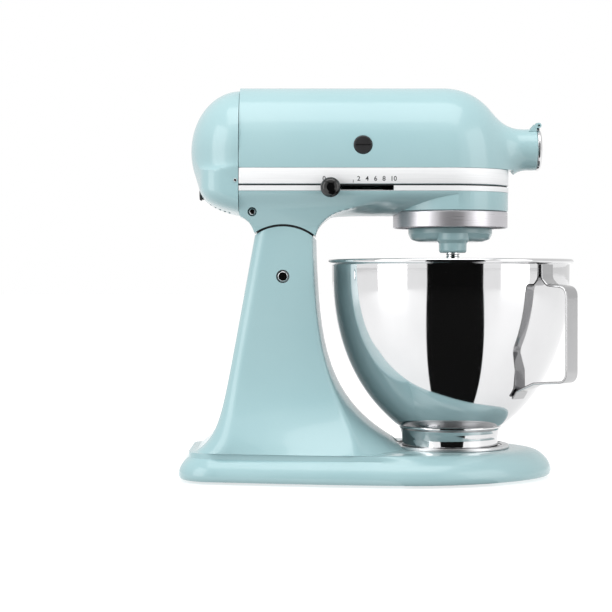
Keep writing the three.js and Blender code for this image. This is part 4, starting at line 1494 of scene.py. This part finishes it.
@dataclass
class Head:
    """The head's shells, trim and outside fittings."""

    finishes: Finishes
    repeater: Repeater
    form: HeadForm = field(default_factory=HeadForm)
    cover: CoverForm = CoverForm()
    nose_radius: float = 18.6
    nose_front: float = 143.8
    neck_arc: float = 46.3
    boss_radius: float = 52.2
    brush: Place = (-14.3, 0, 297.0)
    cover_screw: Place = (-126.6, 0, 266)
    slot: tuple[float, float] = (-45.6, 12.6)
    scale: tuple[tuple[str, float], ...] = (
        ("0", -48.5), ("2", -18.2), ("4", -10.8), ("6", -3.4), ("8", 4.0), ("10", 12.4))
    scale_size: float = 5.8
    scale_z: float = 265.4
    tick_x: float = -23.0

    def build(self) -> None:
        """Builds and dresses every piece of the head."""
        self.build_housing()
        self.build_gear_case()
        self.build_rear_cover()
        self.build_trim()
        self.build_scale()
        self.build_fittings()

    def build_housing(self) -> None:
        """The upper shell with the nose."""
        form = self.form

        def in_housing(p: Points) -> Points:
            """Whether points are in the arch joined with the nose.

            Args:
                p: The points.

            Returns:
                True for each point inside.
            """
            radius = np.hypot(p[:, 1], p[:, 2] - HUB_Z)
            nose = np.minimum(self.nose_radius - radius, self.nose_front - p[:, 0])
            nose = np.where(p[:, 0] < 40, -50, nose)
            return soft_union(form.arch_depth(p), nose, 17.0) > 0

        rim = math.atan(self.nose_radius / (self.nose_front - form.dome_x))
        polars = np.concatenate([
            np.radians(np.linspace(87, 27, 44)), np.radians(np.linspace(26, 12.6, 34)),
            [rim * 1.006, rim * 0.994, rim * 0.8, rim * 0.4]])
        stations = np.concatenate([[form.seam_x], np.linspace(form.seam_x + 1, form.dome_x, 30)])
        shell = form.shell("housing", in_housing, HUB_Z, form.seam_x, stations, polars, 192)
        inner = form.shell("inner_tool", lambda p: form.arch_depth(p, 3.0) > 0, HUB_Z, form.seam_x - 5,
                           np.array([form.seam_x, form.dome_x]), np.radians(np.linspace(85, 4, 16)), 72)
        combine(shell, [
            inner,
            rod("bore_tool", 14.3, 84, 152.8, Axis.X, HUB_AXIS, 96),
            form.seat(240, 277.25),
            block("low_tool", (-220, -90, 200), (220, 90, 262.7)),
            rod("brush_tool", 8.4, -70, 70, Axis.Y, self.brush, 72),
            rod("stem_tool", 3.3, 10, 40, Axis.Y, ATTACHMENT_SCREW, 32),
        ], "DIFFERENCE", 36.0)
        dress(shell, Body.HEAD, self.finishes.enamel, "enamel", "motor_housing")
        for label, y in (("near", -8.5), ("far", 8.5)):
            self.build_lug(label, y)

    def build_lug(self, label: str, y: float) -> None:
        """A lug of the hub cap's hinge on top of the nose.

        Args:
            label: Which side.
            y: The lug's middle.
        """
        lug = turned(f"cap_lug_{label}", [
            (0, y - 1.7), (2.4, y - 1.7, 0.3), (2.4, y + 1.7, 0.3), (0, y + 1.7)], Axis.Y, CAP_HINGE, 40)
        foot = side_slab("lug_foot", [
            (136.5, 312.2), (143.5, 312.2), (143.7, 315.4), (145.6, 315.4), (145.6, 319.9), (143, 319.6),
            (138.5, 314.6)], y - 1.65, y + 1.65)
        combine(lug, [foot], "UNION")
        dress(lug, Body.HEAD, self.finishes.enamel, "enamel")

    def build_gear_case(self) -> None:
        """The lower shell with the neck, the hinge tongue and the round front boss."""
        form = self.form

        def in_case(p: Points) -> Points:
            """Whether points are in the boat joined with the neck."""
            return soft_union(form.boat_field(p), form.neck_field(p), 7.0) > 0

        stations = np.concatenate([[form.seam_x], np.linspace(form.seam_x + 0.6, -20, 100),
                                   np.linspace(-17, form.dome_x, 16)])
        shell = form.shell("gear_case_shell", in_case, 258.0, form.seam_x, stations,
                           np.radians(np.linspace(87, 2, 40)), 160)
        boss = turned("boss_tool", [
            (0, 240), (self.boss_radius, 240, 0.8), (self.boss_radius, 264), (0, 264)], Axis.Z,
            BOWL_AXIS, 192)
        combine(shell, [boss], "UNION", 36.0)
        hollow = form.shell("hollow_tool", lambda p: form.boat_field(p, 4.0) > 0, 258.0,
                            form.seam_x + 4, np.array([form.seam_x + 4, form.dome_x]),
                            np.radians(np.linspace(84, 4, 14)), 64)
        combine(shell, [
            hollow,
            rod("room_tool", 47, 243.5, 275, Axis.Z, BOWL_AXIS, 96),
            form.seat(form.boat_z, 275),
            block("top_tool", (-220, -90, 261.3), (220, 90, 300)),
            block("slot_tool", (self.slot[0], -70, 257.1), (self.slot[1], -40, 261.5)),
            rod("under_tool", self.boss_radius, 190, 240, Axis.Z, BOWL_AXIS, 192),
            rod("shaft_tool", 12.3, 190, 250, Axis.Z, BOWL_AXIS, 64),
            rod("arc_tool", self.neck_arc, -70, 70, Axis.Y, HINGE, 256),
            rod("screw_tool_far", 4, 36, 70, Axis.Y, NECK_SCREW, 40),
            rod("screw_tool_near", 4, -70, -36, Axis.Y, NECK_SCREW, 40),
        ], "DIFFERENCE", 36.0)
        dress(shell, Body.HEAD, self.finishes.enamel, "enamel", "gear_case")
        self.build_tongue()

    def build_tongue(self) -> None:
        """The tongue that goes down to the hinge pin."""
        tongue = side_slab("hinge_tongue", fan(48.5, -31, -17, 5), -20, 20)
        combine(tongue, [rod("eye", 11.5, -20, 20, Axis.Y, HINGE, 72)], "UNION")
        combine(tongue, [rod("bore", 5.2, -60, 60, Axis.Y, HINGE, 64),
                         block("notch", (-80, -6, 193), (-50, 40, 202.2))])
        dress(tongue, Body.HEAD, self.finishes.enamel, "enamel")

    def build_rear_cover(self) -> None:
        """The domed rear cover over its squared skirt, with cooling slots below."""
        seam = self.form.seam_x
        cover = self.cover.body("rear_cover_shell", 0.0, 192, 80)
        combine(cover, [
            self.cover.body("inner_tool", 3.0, 64, 20),
            block("seam_tool", (seam - 0.45, -90, 200), (0, 90, 400)),
            rod("gland_tool", 5.3, -175, -140, Axis.X, CORD_GLAND, 40),
        ], "DIFFERENCE", 40.0)
        slots = block("vent_slots", (-0.8, -18, -8), (0.8, 18, 8))
        self.repeater.lay(slots, self.repeater.row_tree(), Matrix.Translation((-150, 0, 243)), Count=5,
                          Step=(4.2 * MM, 0, 0), Finish=self.finishes.enamel)
        combine(cover, [slots], "DIFFERENCE", 40.0)
        dress(cover, Body.HEAD, self.finishes.enamel, "enamel", "rear_cover")
        self.build_cover_screw()

    def build_cover_screw(self) -> None:
        """The small slotted screw at the cover's near edge."""
        x, _, z = self.cover_screw
        screw = turned("cover_screw", [
            (0, 51), (1.7, 51), (1.7, 53.9, 0.2), (1.2, 54.6, 0.4), (0, 54.7)], Axis.Y,
            self.cover_screw, 40)
        combine(screw, [block("screw_slot", (x - 2, 54.3, z - 0.2), (x + 2, 56, z + 0.2))])
        self.facing(screw, -1)
        dress(screw, Body.HEAD, self.finishes.polished, "polished")

    @staticmethod
    def facing(obj: Any, sign: int) -> None:
        """Mirrors a piece made on the far side when its sign is -1."""
        obj.data.transform(Matrix.Diagonal((1, sign, 1, 1)))
        tidy(obj)

    def build_trim(self) -> None:
        """The satin band, the strip with the speed slot, the dark joint and the drip ring."""
        form = self.form
        band = soften(form.strip("trim_band_strip", 0.0, 1.2, 263.0, 276.9), 0.35)
        dress(band, Body.HEAD, self.finishes.band, "brushed", "trim_band")
        strip = form.strip("trim_lower_strip", 0.0, 1.2, 256.8, 261.3)
        combine(strip, [block("slot_tool", (self.slot[0], -70, 257.1), (self.slot[1], -40, 261.3))])
        dress(strip, Body.HEAD, self.finishes.band, "brushed", "trim_strip")
        joint = form.strip("dark_joint", 1.4, 4.0, 261.5, 262.5)
        dress(joint, Body.HEAD, self.finishes.rubber, "rubber", "band_gasket")
        ring = turned("drip_ring_band", [
            (49, 225.2), (50.2, 224.9, 0.4), (51.8, 225.6, 0.6), (51.8, 238.9, 0.4), (51.2, 239.7, 0.3),
            (49, 239.7)], Axis.Z, BOWL_AXIS, 192)
        dress(ring, Body.HEAD, self.finishes.satin, "brushed", "drip_ring")

    def build_scale(self) -> None:
        """Numbers and a tick of the speed scale on the band."""
        for text, x in self.scale:
            curve = bpy.data.curves.new(f"scale_{text}", "FONT")
            curve.body = text
            curve.size = self.scale_size * MM
            curve.offset = 0.06 * MM
            curve.extrude = 0.05 * MM
            curve.align_x = "CENTER"
            curve.resolution_u = 6
            source = bpy.data.objects.new(f"scale_source_{text}", curve)
            bpy.context.scene.collection.objects.link(source)
            graph = bpy.context.evaluated_depsgraph_get()
            mesh = bpy.data.meshes.new_from_object(source.evaluated_get(graph))
            bpy.data.objects.remove(source)
            label = bpy.data.objects.new(f"scale_number_{text}", mesh)
            bpy.context.scene.collection.objects.link(label)
            stand = Matrix.Translation((x * MM, -54.03 * MM, self.scale_z * MM))
            mesh.transform(stand @ Matrix.Rotation(math.pi / 2, 4, "X"))
            tidy(label, 30.0)
            dress(label, Body.HEAD, self.finishes.ink, "black")
        x = self.tick_x
        tick = block("scale_tick", (x - 0.2, -54.08, 263.6), (x + 0.2, -53.98, 266.2))
        dress(tick, Body.HEAD, self.finishes.ink, "black")

    def build_fittings(self) -> None:
        """Brush caps, neck screws and the cord gland."""
        x, _, z = self.brush
        screw_x, _, screw_z = NECK_SCREW
        for label, sign in (("left", 1), ("right", -1)):
            cap = turned(f"brush_cap_cover_{label}", [
                (0, 46), (8, 46), (8, 52.3, 0.5), (7.3, 52.9, 0.3), (0, 53.0)], Axis.Y, self.brush, 72)
            combine(cap, [block("cap_slot", (x - 6.6, 51.8, z - 0.55), (x + 6.6, 56, z + 0.55))])
            self.facing(cap, sign)
            dress(cap, Body.HEAD, self.finishes.satin_black, "black", f"brush_cap_{label}")
            screw = turned(f"neck_screw_head_{label}", [
                (0, 36.3), (3.5, 36.3), (3.5, 40.6, 0.3), (2.5, 42.2, 0.8), (0, 42.6)], Axis.Y,
                NECK_SCREW, 48)
            combine(screw, [
                block("cross_a", (screw_x - 2, 41.4, screw_z - 0.4), (screw_x + 2, 44, screw_z + 0.4)),
                block("cross_b", (screw_x - 0.4, 41.4, screw_z - 2), (screw_x + 0.4, 44, screw_z + 2))])
            self.facing(screw, sign)
            dress(screw, Body.HEAD, self.finishes.polished, "steel", f"neck_screw_{label}")
        gland = turned("cord_gland_ring", [
            (3.2, -160.6), (5, -160.9, 0.4), (5.8, -159.9, 0.5), (5.8, -158.8, 0.2), (5, -158.8),
            (5, -154), (3.2, -154)], Axis.X, CORD_GLAND, 64)
        dress(gland, Body.HEAD, self.finishes.rubber, "rubber", "cord_gland")


@dataclass
class DriveEnd:
    """The planetary carrier, the beater shaft, the hub cap and the two knobs."""

    finishes: Finishes
    repeater: Repeater
    shaft_radius: float = 6.0
    speed_knob: Place = (-43, 0, 259.3)

    def build(self) -> None:
        """Builds and dresses the pieces."""
        self.build_carrier()
        self.build_hub_cap()
        self.build_controls()

    def build_carrier(self) -> None:
        """The rounded carrier with the boss, and the beater shaft."""
        disc = turned("carrier", [
            (0, 212.8), (29, 212.8, 4), (35.5, 214.6, 5), (38, 220, 3), (38, 225, 0.6), (12, 225.2),
            (12, 239), (0, 239)], Axis.Z, BOWL_AXIS, 160)
        boss = turned("boss_tool", [
            (0, 202.5), (11.4, 202.5, 1.6), (12.25, 204.4, 1.2), (12.4, 211, 1), (14.6, 214, 2),
            (14.8, 220), (0, 220)], Axis.Z, SHAFT_AXIS, 96)
        combine(disc, [boss], "UNION")
        combine(disc, [rod("bore_tool", self.shaft_radius + 0.3, 190, 260, Axis.Z, axis, 48)
                       for axis in (BOWL_AXIS, SHAFT_AXIS)])
        dress(disc, Body.PLANETARY, self.finishes.enamel, "enamel", "planetary_carrier")
        wide = self.shaft_radius
        shaft = turned("beater_spindle", [
            (0, 165), (5.0, 165), (wide, 166.2, 0.5), (wide, 171.5, 0.2), (5.6, 171.9), (5.6, 172.6),
            (wide, 173, 0.2), (wide, 199, 0.2), (5.5, 199.6), (5.5, 200.6), (wide, 201.2, 0.2),
            (wide, 226.5), (4, 226.5), (4, 237.5), (0, 237.5)], Axis.Z, SHAFT_AXIS, 64)
        combine(shaft, [rod("pin_bore", 1.8, 57, 76, Axis.X, (0, SHAFT_AXIS[1], 176), 32)])
        dress(shaft, Body.BEATER, self.finishes.polished, "polished", "beater_shaft")

    def build_hub_cap(self) -> None:
        """The power hub's cap with its knuckle."""
        cap = turned("hub_cap_cover", [
            (0, 144.1), (18.6, 144.1, 0.2), (19, 144.6, 0.2), (19, 146.2, 0.8), (17.4, 147.7, 1.2),
            (15.2, 147.9, 0.4), (14.4, 147.4, 0.4), (13.4, 147.5, 0.4), (12.4, 148.1, 0.8), (0, 148.4)],
            Axis.X, HUB_AXIS, 144)
        knuckle = turned("knuckle", [(0, -6.3), (2.6, -6.3, 0.3), (2.6, 6.3, 0.3), (0, 6.3)], Axis.Y,
                         CAP_HINGE, 40)
        neck = block("cap_neck", (144.5, -5.8, 311), (146.7, 5.8, CAP_HINGE[2]))
        combine(cap, [knuckle, neck], "UNION")
        combine(cap, [rod("pin_bore", 1.3, -12, 12, Axis.Y, CAP_HINGE, 24)])
        dress(cap, Body.HUB_CAP, self.finishes.polished, "polished", "hub_cap")

    def build_controls(self) -> None:
        """The fluted attachment knob and the speed knob."""
        core = turned("attachment_grip", [
            (0, 24), (9.4, 24, 0.6), (10.2, 26, 0.8), (10.2, 34, 0.8), (8.6, 36.6, 1.4), (4, 37, 0.6),
            (3.4, 36.3, 0.3), (0, 36.2)], Axis.Y, ATTACHMENT_SCREW, 96)
        rib = turned("attachment_ribs", [(0, -5), (1.1, -4.6, 0.5), (1.1, 4.6, 0.5), (0, 5)],
                     segments=16)
        middle = Matrix.Translation((ATTACHMENT_SCREW[0], 30.2, HUB_Z))
        stand = middle @ Matrix.Rotation(math.pi / 2, 4, "X")
        self.repeater.lay(rib, self.repeater.ring_tree(), stand, Count=18, Radius=9.9 * MM,
                          Finish=self.finishes.black)
        dress(core, Body.KNOB, self.finishes.black, "black", "attachment_knob")
        dress(rib, Body.KNOB, self.finishes.black, "black")
        knob = turned("speed_ball", [
            (0, -54.6), (4.2, -54.6), (4.4, -56.6, 0.8), (7.8, -57.6, 1.6), (8.9, -60.4, 2.2),
            (8.7, -63.6, 2.4), (6.6, -66.2, 3), (3.4, -67.3, 2.5), (0, -67.4)], Axis.Y,
            self.speed_knob, 96)
        dress(knob, Body.SPEED, self.finishes.black, "black", "speed_knob")


# ---------------------------------------------------------------- inner parts and studio


def dress_inner_parts(finishes: Finishes) -> None:
    """Gives the frame's own nodes that stay their finishes by material slot.

    Args:
        finishes: All finishes.
    """
    slots = {entry["node"]: entry["material_slot"] for entry in frame["record"]["subparts"]}
    for name, obj in frame["nodes"].items():
        if obj.type != "MESH" or obj.hide_render:
            continue
        material = finishes.by_slot(slots[name])
        for place in range(len(obj.material_slots)):
            obj.material_slots[place].material = material
        if not obj.material_slots:
            obj.data.materials.append(material)
    log.info("inner parts dressed")


@dataclass
class Studio:
    """Floor, light and camera."""

    camera_place: Place = (-64.4, -1550.0, 182.7)
    pitch_down: float = 1.04
    lens: float = 100.3
    fill: float = 0.64
    mirror_fill: float = 0.84
    floor_glow: float = 0.66
    dark_angle: float = 26.0
    floor_reach: float = 14.0
    aim: Place = (0.0, 0.0, 0.17)
    boxes: tuple[tuple[str, Place, tuple[float, float], float], ...] = (
        ("left_box", (-1.25, -0.75, 0.62), (0.9, 1.3), 8.6),
        ("right_box", (1.35, -0.8, 0.62), (0.9, 1.3), 6.0),
        ("top_box", (-0.05, -0.5, 1.5), (1.5, 0.9), 10.0))

    def build(self) -> None:
        """Builds the studio."""
        bpy.context.scene.view_settings.view_transform = "Standard"
        self.build_camera()
        self.build_floor()
        self.build_cards()
        self.build_light()

    def build_camera(self) -> None:
        """The camera level with the bowl's rim."""
        data = bpy.data.cameras.new("camera")
        data.lens = self.lens
        data.sensor_width = 36.0
        camera = bpy.data.objects.new("camera", data)
        camera.location = Vector(self.camera_place) * MM
        camera.rotation_euler = (math.radians(90 - self.pitch_down), 0, 0)
        bpy.context.scene.collection.objects.link(camera)
        bpy.context.scene.camera = camera

    def build_floor(self) -> None:
        """A wide pale floor."""
        size = self.floor_reach
        floor = self.sheet("floor", [
            (-size, -size, 0), (size, -size, 0), (size, size, 0), (-size, size, 0)])
        shader = Shader("pale_floor")
        shader.set(Base_Color=(0.5, 0.5, 0.5, 1.0), Emission_Color=WHITE)
        shader.set(Roughness=0.5, Emission_Strength=self.floor_glow, Specular_IOR_Level=0.2)
        floor.data.materials.append(shader.material)
        floor.visible_diffuse = False

    def build_cards(self) -> None:
        """Dark cards that only the reflections see."""
        axis = BOWL_X * MM
        wide = math.tan(math.radians(self.dark_angle))
        near, far, tall, lift = 0.05, 2.1, 1.9, 0.0006
        ground = self.sheet("dark_ground", [
            (axis - near * wide, -near, lift), (axis + near * wide, -near, lift),
            (axis + far * wide, -far, lift), (axis - far * wide, -far, lift)])
        wall = self.sheet("dark_wall", [
            (axis - far * wide, -far, 0), (axis + far * wide, -far, 0), (axis + far * wide, -far, tall),
            (axis - far * wide, -far, tall)])
        cloth = Shader("black_card")
        cloth.set(Base_Color=(0.006, 0.006, 0.006, 1.0))
        cloth.set(Roughness=0.95, Specular_IOR_Level=0.0)
        for card in (ground, wall):
            card.data.materials.append(cloth.material)
            card.visible_camera = False
            card.visible_shadow = False
            card.visible_diffuse = False

    @staticmethod
    def sheet(name: str, corners: Sequence[Place]) -> Any:
        """A flat sheet.

        Args:
            name: The sheet's name.
            corners: Its corners in metres.

        Returns:
            The object.
        """
        mesh = bpy.data.meshes.new(name)
        mesh.from_pydata(corners, [], [tuple(range(len(corners)))])
        made = bpy.data.objects.new(name, mesh)
        bpy.context.scene.collection.objects.link(made)
        return made

    def build_light(self) -> None:
        """Soft boxes and a surround that is white to the camera and dimmer as a light."""
        world = bpy.data.worlds.new("surround")
        bpy.context.scene.world = world
        world.use_nodes = True
        tree = world.node_tree
        below = tree.nodes["Background"]
        feed(tree, below.inputs["Color"], WHITE)
        feed(tree, below.inputs["Strength"], self.fill)
        path = add_node(tree, "ShaderNodeLightPath")
        for ray, strength in (("Is Glossy Ray", self.mirror_fill), ("Is Camera Ray", 1.0)):
            seen = add_node(tree, "ShaderNodeBackground", {}, {"Color": WHITE, "Strength": strength})
            below = add_node(tree, "ShaderNodeMixShader", {},
                             {0: path.outputs[ray], 1: below.outputs[0], 2: seen.outputs[0]})
        feed(tree, tree.nodes["World Output"].inputs["Surface"], below.outputs[0])
        for name, place, size, power in self.boxes:
            data = bpy.data.lights.new(name, "AREA")
            data.shape = "RECTANGLE"
            data.size, data.size_y = size
            data.energy = power
            light = bpy.data.objects.new(name, data)
            light.location = place
            aim = Vector(self.aim) - Vector(place)
            light.rotation_euler = aim.to_track_quat("-Z", "Y").to_euler()
            bpy.context.scene.collection.objects.link(light)


def main() -> None:
    """Builds the mixer, dresses it and sets the studio around it."""
    logging.basicConfig(level=logging.INFO, format="%(message)s")
    Studio().build()
    finishes = Finishes()
    repeater = Repeater()
    BaseCasting(finishes).build()
    BaseFittings(finishes, repeater).build()
    HeadLock(finishes).build()
    Bowl(finishes).build()
    Head(finishes, repeater).build()
    DriveEnd(finishes, repeater).build()
    dress_inner_parts(finishes)


if __name__ == "__main__":
    main()
